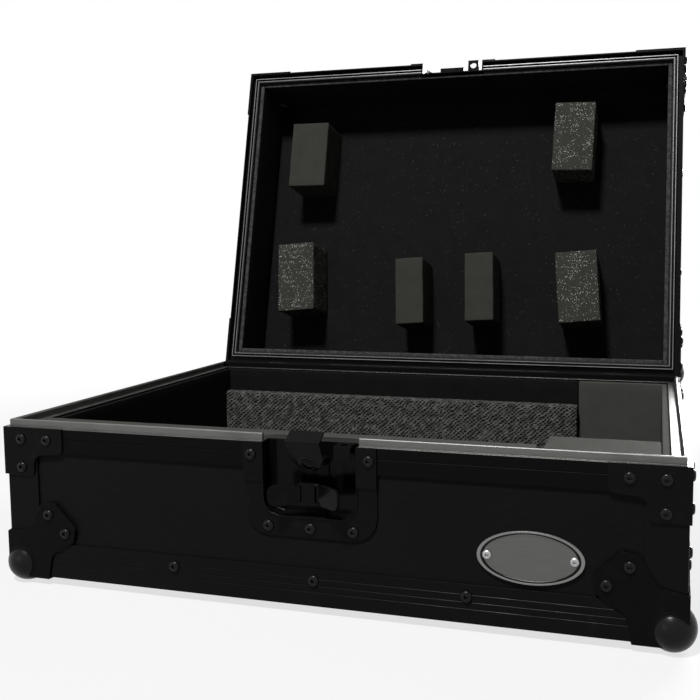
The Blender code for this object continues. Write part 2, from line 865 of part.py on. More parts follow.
def latch_hook():
    """The hook, drawn upright about its pivot and then tipped forward: shield-shaped plate, lip and boss."""
    half = hook_thickness / 2
    top = hook_reach + hook_thickness
    shield = [
        (-hook_half_width, top),
        (-hook_half_width, hook_shoulder),
        (-hook_boss_radius, -hook_foot),
        (hook_boss_radius, -hook_foot),
        (hook_half_width, hook_shoulder),
        (hook_half_width, top),
    ]
    outline = rounded(shield, (0, *[hook_corner] * 4, 0), steps=4)
    hook = plate("latch_hook", [outline], hook_step - half, hook_step + half, front_plane, "black_hardware")
    lip_end = hook_lip - hook_step
    lip = box("hook_lip", (-hook_half_width, -hook_step, hook_reach), (hook_half_width, lip_end, top))
    barrel = rod("hook_barrel", hook_barrel_radius, (-hook_barrel_half, 0, 0), (hook_barrel_half, 0, 0))
    arm = box(
        "hook_arm",
        (-hook_barrel_half, -hook_step, -hook_thickness),
        (hook_barrel_half, 0, hook_thickness),
    )
    boss_z = hook_boss_radius - hook_foot
    sphere_radius = (hook_boss_radius**2 + hook_boss_height**2) / (2 * hook_boss_height)
    boss_y = sphere_radius - hook_step - half - hook_boss_height
    boss = ball("hook_boss", sphere_radius, (0, boss_y, boss_z), 40, 40)
    keep_from = (0, -hook_step - cut_past, boss_z)
    keep = rod("hook_boss_keep", hook_boss_radius, keep_from, (0, -hook_step, boss_z))
    boss.rotation_euler.x = math.radians(90)
    combine(boss, keep, "INTERSECT")
    bore = rod("hook_bore", pivot_pin_radius + seat_gap, (-cut_past, 0, 0), (cut_past, 0, 0), sides=16)
    tip = Matrix.Translation((latch_x, pivot_y, pivot_z)) @ Matrix.Rotation(hook_tilt, 4, "X")
    for piece in (hook, lip, barrel, arm, boss, keep, bore):
        piece.matrix_world = tip @ piece.matrix_basis
    weld_to(hook, lip, barrel, arm, boss)
    return cut(hook, bore)


def lid_keeper_dish():
    """The dish in the lid's front: strike for the hook, and the upper of the two padlock tabs."""
    outer = -half_depth - hardware_proud
    low = lid_bottom + seat_gap
    step_z = lid_bottom + keeper_joggle
    left = latch_x - dish_half_width
    right = latch_x + dish_half_width
    sides = rectangle(left, step_z, right, lid_bottom + keeper_height)
    upper = rounded(sides, (0, 0, keeper_corner, keeper_corner), steps=4)
    inner = dish_face + hardware_wall
    joggle_top = step_z + hardware_wall
    dish = plate("lid_keeper_dish", [upper], -inner, -dish_face, front_plane, "black_hardware")
    lower = box("keeper_lower", (left, outer, low), (right, outer + hardware_wall, joggle_top))
    joggle = box("keeper_joggle", (left, outer, step_z), (right, inner, joggle_top))
    rise = keeper_rise + lid_gap
    tray = dish_tray("keeper_tray", lid_gap + seat_gap, rise + hardware_wall, hardware_wall)
    weld_to(dish, lower, joggle, tray)
    cut(dish, dish_tray("keeper_recess", -cut_past, rise, 0))
    strike = box(
        "keeper_strike",
        (latch_x - strike_half_width, recess_back - strike_reach, low),
        (latch_x + strike_half_width, recess_back + hardware_wall / 2, low + strike_thickness),
    )
    return weld_to(dish, strike, padlock_lug("keeper_lug", low, low + lug_thickness))


# Rear hinges


def hinge_leaf(name, x, rise, knuckles, finish="black_hardware"):
    """A leaf on the back of the base (rise -1) or the lid (rise 1) with its knuckles, bored for the pin."""
    inner = half_depth + seat_gap
    edge = parting_z - seat_gap if rise < 0 else lid_bottom + seat_gap
    far = edge + rise * (hinge_leaf_height - seat_gap)
    leaf = box(
        name,
        (x - hinge_half_width, inner, min(edge, far)),
        (x + hinge_half_width, inner + hardware_wall, max(edge, far)),
        finish,
    )
    for index, (start, end) in enumerate(knuckles):
        knuckle = rod(
            f"{name}_knuckle_{index}",
            hinge_knuckle_radius,
            (x + start, hinge_y, parting_z),
            (x + end, hinge_y, parting_z),
        )
        reach = edge + rise * (hinge_knuckle_radius - seat_gap)
        web = box(
            f"{name}_web_{index}",
            (x + start, inner + hardware_wall / 2, min(edge, reach)),
            (x + end, hinge_y, max(edge, reach)),
        )
        weld_to(leaf, knuckle, web)
    return leaf


def hinge_stop(name, x_low, x_high):
    """A gusset behind the base's leaf, on which the lid's leaf comes to rest when the lid is open."""
    slope = math.tan(lid_opening - math.pi / 2)
    outer = half_depth + seat_gap + hardware_wall
    rest = (hinge_y - outer) / math.cos(lid_opening - math.pi / 2) - seat_gap
    near = hinge_knuckle_radius
    outline = [
        (outer - hardware_wall / 2, parting_z - hinge_stop_foot),
        (hinge_y + hinge_stop_reach, parting_z - hinge_knuckle_radius),
        (hinge_y + hinge_stop_reach, parting_z + rest - slope * hinge_stop_reach),
        (hinge_y + near, parting_z + rest - slope * near),
        (hinge_y, parting_z - seat_gap),
        (outer - hardware_wall / 2, parting_z - seat_gap),
    ]
    return plate(name, [outline], x_low, x_high, side_plane)


def hinges():
    """Both hinges. Returns the leaves that belong to the lid."""
    lid_leaves = []
    outer_knuckle = hinge_knuckle_half + seat_gap
    for name, side in (("left", -1), ("right", 1)):
        x = side * hinge_x
        bore_from = (x - hinge_half_width, hinge_y, parting_z)
        bore_to = (x + hinge_half_width, hinge_y, parting_z)
        outer_knuckles = ((-hinge_knuckle_end, -outer_knuckle), (outer_knuckle, hinge_knuckle_end))
        base_leaf = hinge_leaf("hinge_base_leaf_" + name, x, -1, outer_knuckles)
        stop_inner = hinge_knuckle_end + seat_gap
        weld_to(
            base_leaf,
            hinge_stop(f"hinge_stop_{name}_a", x - hinge_half_width, x - stop_inner),
            hinge_stop(f"hinge_stop_{name}_b", x + stop_inner, x + hinge_half_width),
        )
        lid_leaf = hinge_leaf("hinge_lid_leaf_" + name, x, 1, ((-hinge_knuckle_half, hinge_knuckle_half),))
        bore_radius = hinge_pin_radius + seat_gap
        cut(base_leaf, rod(f"hinge_base_bore_{name}", bore_radius, bore_from, bore_to))
        cut(lid_leaf, rod(f"hinge_lid_bore_{name}", bore_radius, bore_from, bore_to))
        rod(
            "hinge_pin_" + name,
            hinge_pin_radius,
            (x - hinge_knuckle_end, hinge_y, parting_z),
            (x + hinge_knuckle_end, hinge_y, parting_z),
            "pin_steel",
        )
        lid_leaves.append(lid_leaf)
    return lid_leaves


# Carrying handle


def handle_dish():
    """The shallow dish in the left end, with a lug on each side for the handle's axle."""
    outer = -half_width - hardware_proud
    face = -ply_outer_x - seat_gap - hardware_wall
    floor_x = -half_width + handle_depth
    flange = rectangle(
        -handle_half_length, handle_z - handle_half_height, handle_half_length, handle_z + handle_half_height
    )
    outline = rounded(flange, [handle_corner] * 4)
    dish = plate("handle_dish", [outline], face, face + hardware_wall, side_plane, "black_hardware")
    corners = [handle_recess_corner] * 4
    tray = rounded(handle_rectangle(hardware_wall), corners)
    recess = rounded(handle_rectangle(0), corners)
    weld_to(dish, plate("handle_tray", [tray], face, floor_x + hardware_wall, side_plane))
    cut(dish, plate("handle_recess", [recess], outer - cut_past, floor_x, side_plane))
    for side in (-1, 1):
        near = side * (handle_arm_y + handle_wire_radius + seat_gap)
        far = side * (handle_arm_y + handle_wire_radius + seat_gap + handle_lug)
        lug = box(
            f"handle_lug_{side}",
            (face, min(near, far), axle_z - 2 * handle_wire_radius),
            (floor_x + hardware_wall / 2, max(near, far), handle_z + handle_reach_z + hardware_wall / 2),
        )
        weld_to(dish, lug)
    bore_half = handle_arm_y + 2 * handle_lug
    bore_from = (axle_x, -bore_half, axle_z)
    bore = rod("handle_bore", handle_wire_radius + seat_gap, bore_from, (axle_x, bore_half, axle_z))
    return cut(dish, bore)


def handle_grip():
    """The sprung bail: bent wire with a thicker grip on its lower bar."""
    end_y = handle_arm_y + handle_wire_radius + handle_lug + seat_gap
    bar_z = handle_z - handle_reach_z + handle_bar_margin
    grip_half = handle_arm_y - handle_grip_gap
    path = [(-end_y, axle_z), (-handle_arm_y, axle_z), (-handle_arm_y, bar_z)]
    path += [(handle_arm_y, bar_z), (handle_arm_y, axle_z), (end_y, axle_z)]
    bends = (0, handle_bend, handle_bend, handle_bend, handle_bend, 0)
    route = [(axle_x, spot.x, spot.y) for spot in rounded(path, bends)]
    wire = tube("handle_wire", route, handle_wire_radius)
    grip_from = (axle_x, -grip_half, bar_z)
    grip_to = (axle_x, grip_half, bar_z)
    grip = rod("handle_grip", handle_grip_radius, grip_from, grip_to, "handle_rubber", sides=28)
    return weld_to(grip, wire)


# Badge


def badge_plate():
    """The oval plate on the front, left bare: a sheet with a raised border."""
    back = ply_outer_y + seat_gap
    front = back + hardware_wall
    outer = [(badge_x + x, badge_z + z) for x, z in ellipse(badge_half_width, badge_half_height, 56)]
    inner = [
        (badge_x + x, badge_z + z)
        for x, z in ellipse(badge_half_width - badge_border, badge_half_height - badge_border, 56)
    ]
    badge = plate("badge_plate", [outer], back, front, front_plane, "badge_metal")
    return weld_to(badge, plate("badge_border", [outer, inner], back, front + hardware_wall / 2, front_plane))


# Foam


def base_foam():
    top = parting_z - liner_drop
    inner_y = foam_y - liner_foam
    inner_x = foam_x - liner_foam
    bay_end = bay_end_x - seat_gap
    floor = box("base_floor_pad", (-foam_x, -foam_y, foam_z), (foam_x, foam_y, bay_floor), "black_foam")
    bevel(floor, foam_edge)
    wall_low = bay_floor + seat_gap
    liner = box("base_foam_liner", (-foam_x, -foam_y, wall_low), (bay_end, foam_y, top), "black_foam")
    hollow_to = (bay_end + cut_past, inner_y, top + cut_past)
    cut(liner, box("liner_hollow", (-inner_x, -foam_y - cut_past, 0), hollow_to))
    pad_left = -inner_x + seat_gap
    rear = box(
        "rear_textured_pad",
        (pad_left, inner_y - seat_gap - rear_pad_foam, wall_low),
        (bay_end, inner_y - seat_gap, parting_z - rear_pad_drop),
        "textured_foam",
    )
    bevel(rear, foam_edge)
    front = box(
        "front_ledge_pad",
        (pad_left, -foam_y, wall_low),
        (bay_end, -foam_y + front_foam, parting_z + front_pad_rise),
        "textured_foam",
    )
    pocket = box(
        "latch_pocket",
        (latch_x - notch_half_width, -half_depth, parting_z - recess_drop - 2 * hardware_wall),
        (latch_x + notch_half_width, recess_back + 2 * hardware_wall, parting_z + cut_past),
    )
    bevel(front, foam_edge)
    cut(front, pocket)
    right = box("compartment_liner", (bay_end_x, -foam_y, wall_low), (foam_x, foam_y, top), "grey_foam")
    hollow_from = (bay_end_x - cut_past, -foam_y - cut_past, 0)
    hollow_to = (foam_x - compartment_foam, foam_y - compartment_foam, top + cut_past)
    cut(right, box("compartment_hollow", hollow_from, hollow_to))
    block = box(
        "compartment_front_block",
        (bay_end_x + compartment_block_gap, -foam_y, wall_low),
        (foam_x - compartment_foam - seat_gap, -foam_y + compartment_block_depth, parting_z + front_pad_rise),
        "block_foam",
    )
    bevel(block, foam_edge)


def lid_foam_pieces():
    panel_under = lid_top - edging_proud - ply
    top = panel_under - seat_gap
    low = lid_bottom + lid_foam_rise
    liner = box("lid_foam_liner", (-foam_x, -foam_y, low), (foam_x, foam_y, top), "black_foam")
    hollow = box(
        "lid_liner_hollow",
        (-foam_x + lid_wall_foam, -foam_y + lid_wall_foam, 0),
        (foam_x - lid_wall_foam, foam_y - lid_wall_foam, top - lid_foam),
    )
    pocket_back = recess_back + hardware_wall + seat_gap
    pocket_top = lid_bottom + keeper_rise + keeper_foam_gap
    pocket = box(
        "keeper_pocket",
        (latch_x - notch_half_width, -half_depth, 0),
        (latch_x + notch_half_width, pocket_back, pocket_top),
    )
    cut(liner, hollow, pocket)
    pieces = [liner]
    block_top = top - lid_foam - seat_gap
    for name, (sides, offset, (size_x, size_y), turn) in lid_blocks.items():
        middle = (sides[0] * half_width + offset[0], sides[1] * half_depth + offset[1], 0)
        block = box(
            "lid_foam_block_" + name,
            (-size_x / 2, -size_y / 2, block_top - block_depth),
            (size_x / 2, size_y / 2, block_top),
            "block_foam",
            Matrix.Translation(middle) @ Matrix.Rotation(math.radians(turn), 4, "Z"),
        )
        pieces.append(bevel(block, foam_edge))
    return pieces


# Lid


def lid_shell(rim_top):
    panel_high = lid_top - edging_proud
    panel_low = panel_high - ply
    panel = box(
        "lid_top_panel",
        (-ply_outer_x, -ply_outer_y, panel_low),
        (ply_outer_x, ply_outer_y, panel_high),
        "black_laminate",
    )
    walls = box(
        "lid_wall_frame",
        (-ply_outer_x, -ply_outer_y, rim_top + seat_gap),
        (ply_outer_x, ply_outer_y, panel_low - seat_gap),
        "black_laminate",
    )
    inside = box("lid_inside", (-ply_inner_x, -ply_inner_y, 0), (ply_inner_x, ply_inner_y, lid_top))
    hole_top = keeper_rise + lid_gap + hardware_wall + 2 * seat_gap
    cut(walls, inside, dish_hole("keeper_hole", -cut_past, hole_top))
    profile = [(inset, lid_top - rise) for inset, rise in ribbed_flange(edging_flange)]
    edging = mitred_frame("lid_edge_frame", profile, half_width, half_depth, "black_edging")
    for name, place in corner_places(0):
        low = lid_bottom + rim_flange + seat_gap
        post = plate("lid_corner_post_" + name, [angle_outline()], low, lid_top - edging_flange / 2)
        post.matrix_world = place @ post.matrix_world
        weld_to(edging, post)
    return [panel, walls, edging]


def hang(piece, hinge):
    """Parents a piece and the helpers of its Booleans to the hinge's empty, where they stand."""
    piece.parent = hinge
    piece.matrix_parent_inverse = Matrix.Translation(-hinge.location)
    for modifier in piece.modifiers:
        if modifier.type == "BOOLEAN":
            hang(modifier.object, hinge)


def build():
    base_panels()
    base_edging()
    base_rim()
    ball_mesh = base_corners()
    latch_dish()
    latch_rotor()
    latch_wing("latch_wing_left", -1)
    latch_wing("latch_wing_right", 1)
    latch_slide()
    latch_hook()
    handle_dish()
    handle_grip()
    badge_plate()
    base_foam()
    lid_leaves = hinges()

    rim, rim_top = lid_rim()
    lid_pieces = [rim, lid_keeper_dish(), *lid_leaves]
    lid_pieces += lid_shell(rim_top)
    lid_pieces += lid_corners(ball_mesh)
    lid_pieces += lid_foam_pieces()
    hinge = bpy.data.objects.new("lid_hinge_axis", None)
    hinge.location = (0, hinge_y, parting_z)
    hinge.rotation_euler.x = -lid_opening
    parts.objects.link(hinge)
    for piece in lid_pieces:
        hang(piece, hinge)


build()
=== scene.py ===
"""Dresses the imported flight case: procedural finishes, rivets, foam, floor, lights and camera."""
import math

import bmesh
import bpy
from mathutils import Matrix, Vector, noise

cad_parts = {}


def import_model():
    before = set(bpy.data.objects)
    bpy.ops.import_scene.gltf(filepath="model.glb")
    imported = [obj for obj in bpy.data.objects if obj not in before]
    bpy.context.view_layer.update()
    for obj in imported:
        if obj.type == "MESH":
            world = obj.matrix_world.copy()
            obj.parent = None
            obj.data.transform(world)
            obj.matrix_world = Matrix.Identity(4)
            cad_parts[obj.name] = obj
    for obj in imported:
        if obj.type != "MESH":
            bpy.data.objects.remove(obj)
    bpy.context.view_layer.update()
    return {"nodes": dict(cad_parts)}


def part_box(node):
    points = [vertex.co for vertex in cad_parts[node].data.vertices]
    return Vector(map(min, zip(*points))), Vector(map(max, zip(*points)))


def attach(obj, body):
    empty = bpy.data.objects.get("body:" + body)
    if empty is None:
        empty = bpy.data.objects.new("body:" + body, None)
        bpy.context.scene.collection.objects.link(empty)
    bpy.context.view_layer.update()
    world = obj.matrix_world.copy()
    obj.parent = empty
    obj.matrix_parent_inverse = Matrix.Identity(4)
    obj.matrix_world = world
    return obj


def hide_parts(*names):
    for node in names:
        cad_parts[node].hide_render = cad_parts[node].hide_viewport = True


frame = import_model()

nodes = frame["nodes"]

# Sizes of the part that the pieces here are set out from, in metres
half_width = 0.280
half_depth = 0.1945
parting_z = 0.1274
lid_bottom = 0.1279
lid_top = 0.2134
underside_z = -0.0018
ground_z = -0.0089
hinge_y = 0.1995
hinge_x = 0.170
lid_opening = math.radians(103.7)
latch_x = -0.002
badge_x = 0.1695
badge_z = 0.0525
handle_z = 0.0673
hardware_proud = 0.0015
panel_inset = 0.0018
recess_half = 0.0402
rim_inner = 0.0126
lid_low = 0.1324

unturned = Matrix.Identity(4)
lid_turn = (
    Matrix.Translation((0, hinge_y, parting_z))
    @ Matrix.Rotation(-lid_opening, 4, "X")
    @ Matrix.Translation((0, -hinge_y, -parting_z))
)


# Node trees


class Graph:
    """A node tree, with short calls for the nodes used here."""

    def __init__(self, node_tree):
        self.nodes = node_tree.nodes
        self.links = node_tree.links

    def add(self, kind, **settings):
        node = self.nodes.new(kind)
        for key, value in settings.items():
            setattr(node, key, value)
        return node

    def feed(self, socket, value):
        if isinstance(value, bpy.types.NodeSocket):
            self.links.new(value, socket)
        else:
            socket.default_value = value

    def math(self, operation, *values):
        node = self.add("ShaderNodeMath", operation=operation)
        for socket, value in zip(node.inputs, values):
            self.feed(socket, value)
        return node.outputs[0]

    def seen(self):
        """One for what the camera, a reflection or glass shows, and nothing for other light."""
        path = self.add("ShaderNodeLightPath").outputs
        direct = self.math("MAXIMUM", path["Is Camera Ray"], path["Is Glossy Ray"])
        return self.math("MAXIMUM", direct, path["Is Transmission Ray"])


class Tree(Graph):
    """A material's node tree."""

    def __init__(self, name, roughness=0.5, metallic=0.0, specular=0.5):
        self.material = bpy.data.materials.new(name)
        self.material.use_nodes = True
        super().__init__(self.material.node_tree)
        self.shader = self.nodes["Principled BSDF"]
        self.shader.inputs["Roughness"].default_value = roughness
        self.shader.inputs["Metallic"].default_value = metallic
        self.shader.inputs["Specular IOR Level"].default_value = specular
        self.place = self.add("ShaderNodeTexCoord").outputs["Object"]
        self.bumps = []

    def turned(self, vector, location=(0, 0, 0), rotation=(0, 0, 0), scale=(1, 1, 1)):
        node = self.add("ShaderNodeMapping", vector_type="POINT")
        self.feed(node.inputs["Vector"], vector)
        self.feed(node.inputs["Location"], location)
        self.feed(node.inputs["Rotation"], rotation)
        self.feed(node.inputs["Scale"], scale)
        return node.outputs[0]

    def split(self, vector):
        node = self.add("ShaderNodeSeparateXYZ")
        self.feed(node.inputs[0], vector)
        return node.outputs

    def noise(self, scale, detail=2.0, vector=None, distortion=0.0):
        node = self.add("ShaderNodeTexNoise")
        self.feed(node.inputs["Vector"], vector or self.place)
        self.feed(node.inputs["Scale"], scale)
        self.feed(node.inputs["Detail"], detail)
        self.feed(node.inputs["Distortion"], distortion)
        return node.outputs["Fac"]

    def cells(self, scale):
        node = self.add("ShaderNodeTexVoronoi", feature="F1")
        self.feed(node.inputs["Vector"], self.place)
        self.feed(node.inputs["Scale"], scale)
        return node.outputs

    def spread(self, value, low, high, to_low=0.0, to_high=1.0):
        node = self.add("ShaderNodeMapRange", interpolation_type="SMOOTHSTEP")
        for socket, number in zip(node.inputs, (value, low, high, to_low, to_high)):
            self.feed(socket, number)
        return node.outputs[0]

    def vary(self, grain, to_low=0.0, to_high=1.0):
        """Stretches the range in which most of a noise lies."""
        return self.spread(grain, 0.3, 0.7, to_low, to_high)

    def mix(self, kind, factor, first, second):
        node = self.add("ShaderNodeMix", data_type=kind)
        for key, value in (("Factor", factor), ("A", first), ("B", second)):
            self.feed(node.inputs[key], value)
        return node.outputs["Result"]

    def blend(self, factor, *colours):
        """Goes from one colour to another; each is a tuple of three or a socket."""
        ends = [(*colour, 1) if isinstance(colour, tuple) else colour for colour in colours]
        return self.mix("RGBA", factor, *ends)

    def colour(self, value):
        self.feed(self.shader.inputs["Base Color"], value)

    def roughness(self, value):
        self.feed(self.shader.inputs["Roughness"], value)

    def metallic(self, value):
        self.feed(self.shader.inputs["Metallic"], value)

    def bump(self, height, distance, strength=1.0):
        self.bumps.append((height, distance, strength))

    def done(self, edge=0.0):
        """Chains the bumps, on normals rounded at the edges where edge is a radius."""
        normal = None
        if edge:
            bevel = self.add("ShaderNodeBevel", samples=4)
            bevel.inputs["Radius"].default_value = edge
            normal = bevel.outputs[0]
        for height, distance, strength in self.bumps:
            node = self.add("ShaderNodeBump")
            node.inputs["Distance"].default_value = distance
            node.inputs["Strength"].default_value = strength
            self.feed(node.inputs["Height"], height)
            if normal:
                self.feed(node.inputs["Normal"], normal)
            normal = node.outputs[0]
        if normal:
            self.feed(self.shader.inputs["Normal"], normal)
        return self.material


def scaled(colour, share):
    return tuple(part * share for part in colour)


def between(tree, value, low, high, soft=0.0002):
    """One between low and high and nothing outside them."""
    up = tree.spread(value, low - soft, low + soft)
    down = tree.spread(value, high - soft, high + soft, 1.0, 0.0)
    return tree.math("MULTIPLY", up, down)


def drawn_lines(tree, noise_settings, stretch, roughness, height, strength, rotation=(0, 0, 0)):
    """Fine lines along the metal, in its roughness and its bumps. Gives back the lines."""
    stretched = tree.turned(tree.place, rotation=rotation, scale=stretch)
    lines = tree.noise(*noise_settings, stretched)
    tree.roughness(tree.vary(lines, *roughness))
    tree.bump(lines, height, strength)
    return lines


# Finishes

black_oxide = (0.0045, 0.0045, 0.0048)


def flat_pair(tree, rotation):
    """Two coordinates in the face of a panel, whichever way it faces.

    The place and the normal are turned first, so that the panels face along the axes.
    """
    coord = tree.add("ShaderNodeTexCoord").outputs
    x, y, z = tree.split(tree.turned(coord["Object"], rotation=rotation))
    normal_x, _, normal_z = tree.split(tree.turned(coord["Normal"], rotation=rotation))
    faces_x, faces_z = [
        tree.math("GREATER_THAN", tree.math("ABSOLUTE", part), 0.7)
        for part in (normal_x, normal_z)
    ]
    return tree.mix("FLOAT", faces_x, x, y), tree.mix("FLOAT", faces_z, z, y)


def hexagons(tree, rotation, pitch):
    """A height that is greatest at the points of a triangular lattice of this pitch."""
    u, v = flat_pair(tree, rotation)
    turn = 4 * math.pi / (math.sqrt(3) * pitch)
    waves = []
    for angle in map(math.radians, (0, 60, 120)):
        along_u = tree.math("MULTIPLY", u, turn * math.cos(angle))
        along_v = tree.math("MULTIPLY", v, turn * math.sin(angle))
        waves.append(tree.math("COSINE", tree.math("ADD", along_u, along_v)))
    total = tree.math("ADD", tree.math("ADD", waves[0], waves[1]), waves[2])
    return tree.spread(total, -0.4, 2.2)


def laminate(name, rotation):
    """Black laminated ply, pressed with a lattice of low dimples and slightly smeared."""
    tree = Tree(name, specular=0.04)
    dimple_pitch = 0.0118
    smears = tree.noise(14, 4)
    tree.colour(tree.blend(smears, (0.0048, 0.0048, 0.005), (0.0078, 0.0078, 0.0081)))
    tree.roughness(tree.vary(smears, 0.42, 0.56))
    tree.bump(hexagons(tree, rotation, dimple_pitch), 0.00022, 0.55)
    tree.bump(tree.noise(900, 3), 0.00006, 0.4)
    return tree.done()


def anodised(name, rotation=(0, 0, 0)):
    """Black anodised extrusion with fine lengthwise lines and a few rubbed spots."""
    tree = Tree(name, specular=0.05)
    drawn_lines(tree, (60, 5), (1.0, 1.0, 40), (0.26, 0.4), 0.00004, 0.5, rotation)
    scuffs = tree.spread(tree.noise(35, 6, distortion=0.6), 0.62, 0.78)
    tree.colour(tree.blend(scuffs, black_oxide, (0.011, 0.011, 0.0115)))
    return tree.done(0.0004)


def bare_edges(tree, bare, dark_tone, light_tone, black):
    """Satin aluminium where bare is one, on a black anodised extrusion."""
    lines = drawn_lines(tree, (90, 5), (1.0, 1.0, 30), (0.34, 0.46), 0.00003, 0.4)
    stains = tree.spread(tree.noise(24, 5), 0.5, 0.8, 0.0, 0.5)
    satin = tree.blend(lines, dark_tone, light_tone)
    satin = tree.blend(stains, satin, scaled(dark_tone, 0.6))
    tree.colour(tree.blend(bare, black, satin))
    tree.metallic(bare)


def base_rim(name):
    """The base's closing extrusion: bare on top, except beside the hinges behind its inner lip,
    where it is painted black as a painted dark reflection of the lid over it.
    """
    tree = Tree(name, specular=0.03)
    _, y, z = tree.split(tree.place)
    lip_y = half_depth - rim_inner
    top = tree.spread(z, parting_z - 0.0006, parting_z - 0.0004)
    # Behind the inner lip beside the hinges, the bare top is painted black. This is a painted dark
    # reflection of the open lid, not a change of finish.
    up_to_lip_not_painted_dark = tree.spread(y, lip_y + 0.0013, lip_y + 0.0019, 1.0, 0.0)
    bare = tree.math("MULTIPLY", top, up_to_lip_not_painted_dark)
    bare_edges(tree, bare, (0.085, 0.085, 0.081), (0.155, 0.155, 0.148), (0.004, 0.004, 0.0042))
    return tree.done(0.0005)


def closed_place(tree):
    """Where a point of the lid lies while the lid is shut."""
    location = lid_turn.inverted().translation
    return tree.split(tree.turned(tree.place, location, (lid_opening, 0, 0)))


def lid_rim(name):
    """The lid's closing extrusion: black, with two thin bare lines and a grey inner lip."""
    tree = Tree(name, specular=0.04)
    x, y, z = closed_place(tree)
    from_side = tree.math("SUBTRACT", half_width, tree.math("ABSOLUTE", x))
    from_front = tree.math("SUBTRACT", half_depth, tree.math("ABSOLUTE", y))
    inset = tree.math("MINIMUM", from_side, from_front)
    outer_line = between(tree, inset, 0.0068, 0.0077)
    inner_line = between(tree, inset, 0.0103, 0.0111)
    inner_lip = between(tree, inset, 0.0111, rim_inner + 0.0004)
    facing_base = tree.spread(z, lid_bottom + 0.0014, lid_bottom + 0.0018, 1.0, 0.0)
    bare = tree.math("MULTIPLY", tree.math("MAXIMUM", outer_line, inner_line), facing_base)
    black = tree.blend(inner_lip, black_oxide, (0.034, 0.034, 0.034))
    bare_edges(tree, bare, (0.10, 0.10, 0.098), (0.26, 0.26, 0.255), black)
    return tree.done(0.0004)


def plated(name, edge, roughness, specular):
    """Black plated steel, glossy, with a slight orange peel and rubbed spots."""
    tree = Tree(name, specular=specular)
    wear = tree.noise(70, 5)
    rubbed = tree.spread(wear, 0.55, 0.8)
    tree.colour(tree.blend(rubbed, (0.003, 0.003, 0.0032), (0.0062, 0.0062, 0.0065)))
    tree.roughness(tree.vary(wear, roughness * 0.8, roughness * 1.25))
    tree.bump(tree.noise(420, 2), 0.00004, 0.3)
    return tree.done(edge)


def rivet_steel(name):
    """Black rivet heads, smooth, with a trace of bare metal where the tool pulled."""
    tree = Tree(name, specular=0.15)
    wear = tree.noise(600, 3)
    rubbed = tree.spread(wear, 0.5, 0.75)
    tree.colour(tree.blend(rubbed, (0.003, 0.003, 0.0032), (0.014, 0.014, 0.0145)))
    tree.roughness(tree.vary(wear, 0.2, 0.3))
    tree.bump(wear, 0.00003, 0.3)
    return tree.done(0.0002)


def badge_metal(name):
    """A brushed oval plate: bare field, a black line round it and a lighter border."""
    tree = Tree(name, metallic=0.85)
    low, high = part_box("badge_plate")
    x, _, z = tree.split(tree.place)
    squares = []
    for part, axis in ((x, 0), (z, 2)):
        from_middle = tree.math("SUBTRACT", part, (low[axis] + high[axis]) / 2)
        share = tree.math("DIVIDE", from_middle, (high[axis] - low[axis]) / 2)
        squares.append(tree.math("MULTIPLY", share, share))
    reach = tree.math("ADD", *squares)
    lines = drawn_lines(tree, (160, 6), (0.4, 1.0, 24), (0.34, 0.5), 0.00003, 0.5)
    field = tree.blend(lines, (0.07, 0.072, 0.068), (0.15, 0.152, 0.145))
    tone = tree.blend(tree.spread(reach, 0.86, 0.88), field, (0.20, 0.20, 0.195))
    line = between(tree, reach, 0.77, 0.87, 0.01)
    tree.colour(tree.blend(line, tone, (0.006, 0.006, 0.006)))
    tree.bump(tree.math("SUBTRACT", 1.0, line), 0.0003, 0.6)
    return tree.done(0.0004)


def pin_steel(name):
    """Bare steel of the badge's pins and the hinges' pins, brushed."""
    tree = Tree(name, metallic=1.0)
    lines = drawn_lines(tree, (120, 6), (0.5, 1.0, 30), (0.34, 0.5), 0.00003, 0.5)
    tree.colour(tree.blend(lines, (0.30, 0.30, 0.30), (0.42, 0.42, 0.42)))
    return tree.done(0.0004)


def grip_rubber(name):
    """Moulded grip on the handle's lower bar; the wire above it is plated."""
    tree = Tree(name)
    wire = tree.spread(tree.split(tree.place)[2], 0.055, 0.0565)
    ribs = tree.add("ShaderNodeTexWave", wave_type="BANDS", bands_direction="Y")
    tree.feed(ribs.inputs["Scale"], 70)
    tree.feed(ribs.inputs["Vector"], tree.place)
    grain = tree.noise(1500, 2)
    tree.colour(tree.blend(grain, (0.011, 0.011, 0.011), (0.019, 0.019, 0.019)))
    tree.roughness(tree.spread(wire, 0, 1, 0.72, 0.32))
    tree.metallic(tree.spread(wire, 0, 1, 0.0, 0.6))
    on_grip = tree.math("SUBTRACT", 1.0, wire)
    tree.bump(tree.math("MULTIPLY", ribs.outputs["Fac"], on_grip), 0.0003, 0.6)
    tree.bump(grain, 0.00008, 0.5)
    return tree.done()


def with_grains(tree, tone, share, scale, colour):
    """The tone with grains on this share of the cells, more crowded in some places."""
    spots = tree.cells(scale)
    pick, size, shine = tree.split(spots["Color"])
    near = tree.math("LESS_THAN", spots["Distance"], tree.spread(size, 0.0, 1.0, 0.14, 0.36))
    crowd = tree.spread(tree.noise(60, 3), 0.35, 0.75, share * 0.25, share * 2.2)
    here = tree.math("MULTIPLY", near, tree.math("LESS_THAN", pick, crowd))
    strength = tree.math("MULTIPLY", here, tree.spread(shine, 0.0, 1.0, 0.35, 1.0))
    return tree.blend(strength, tone, colour)


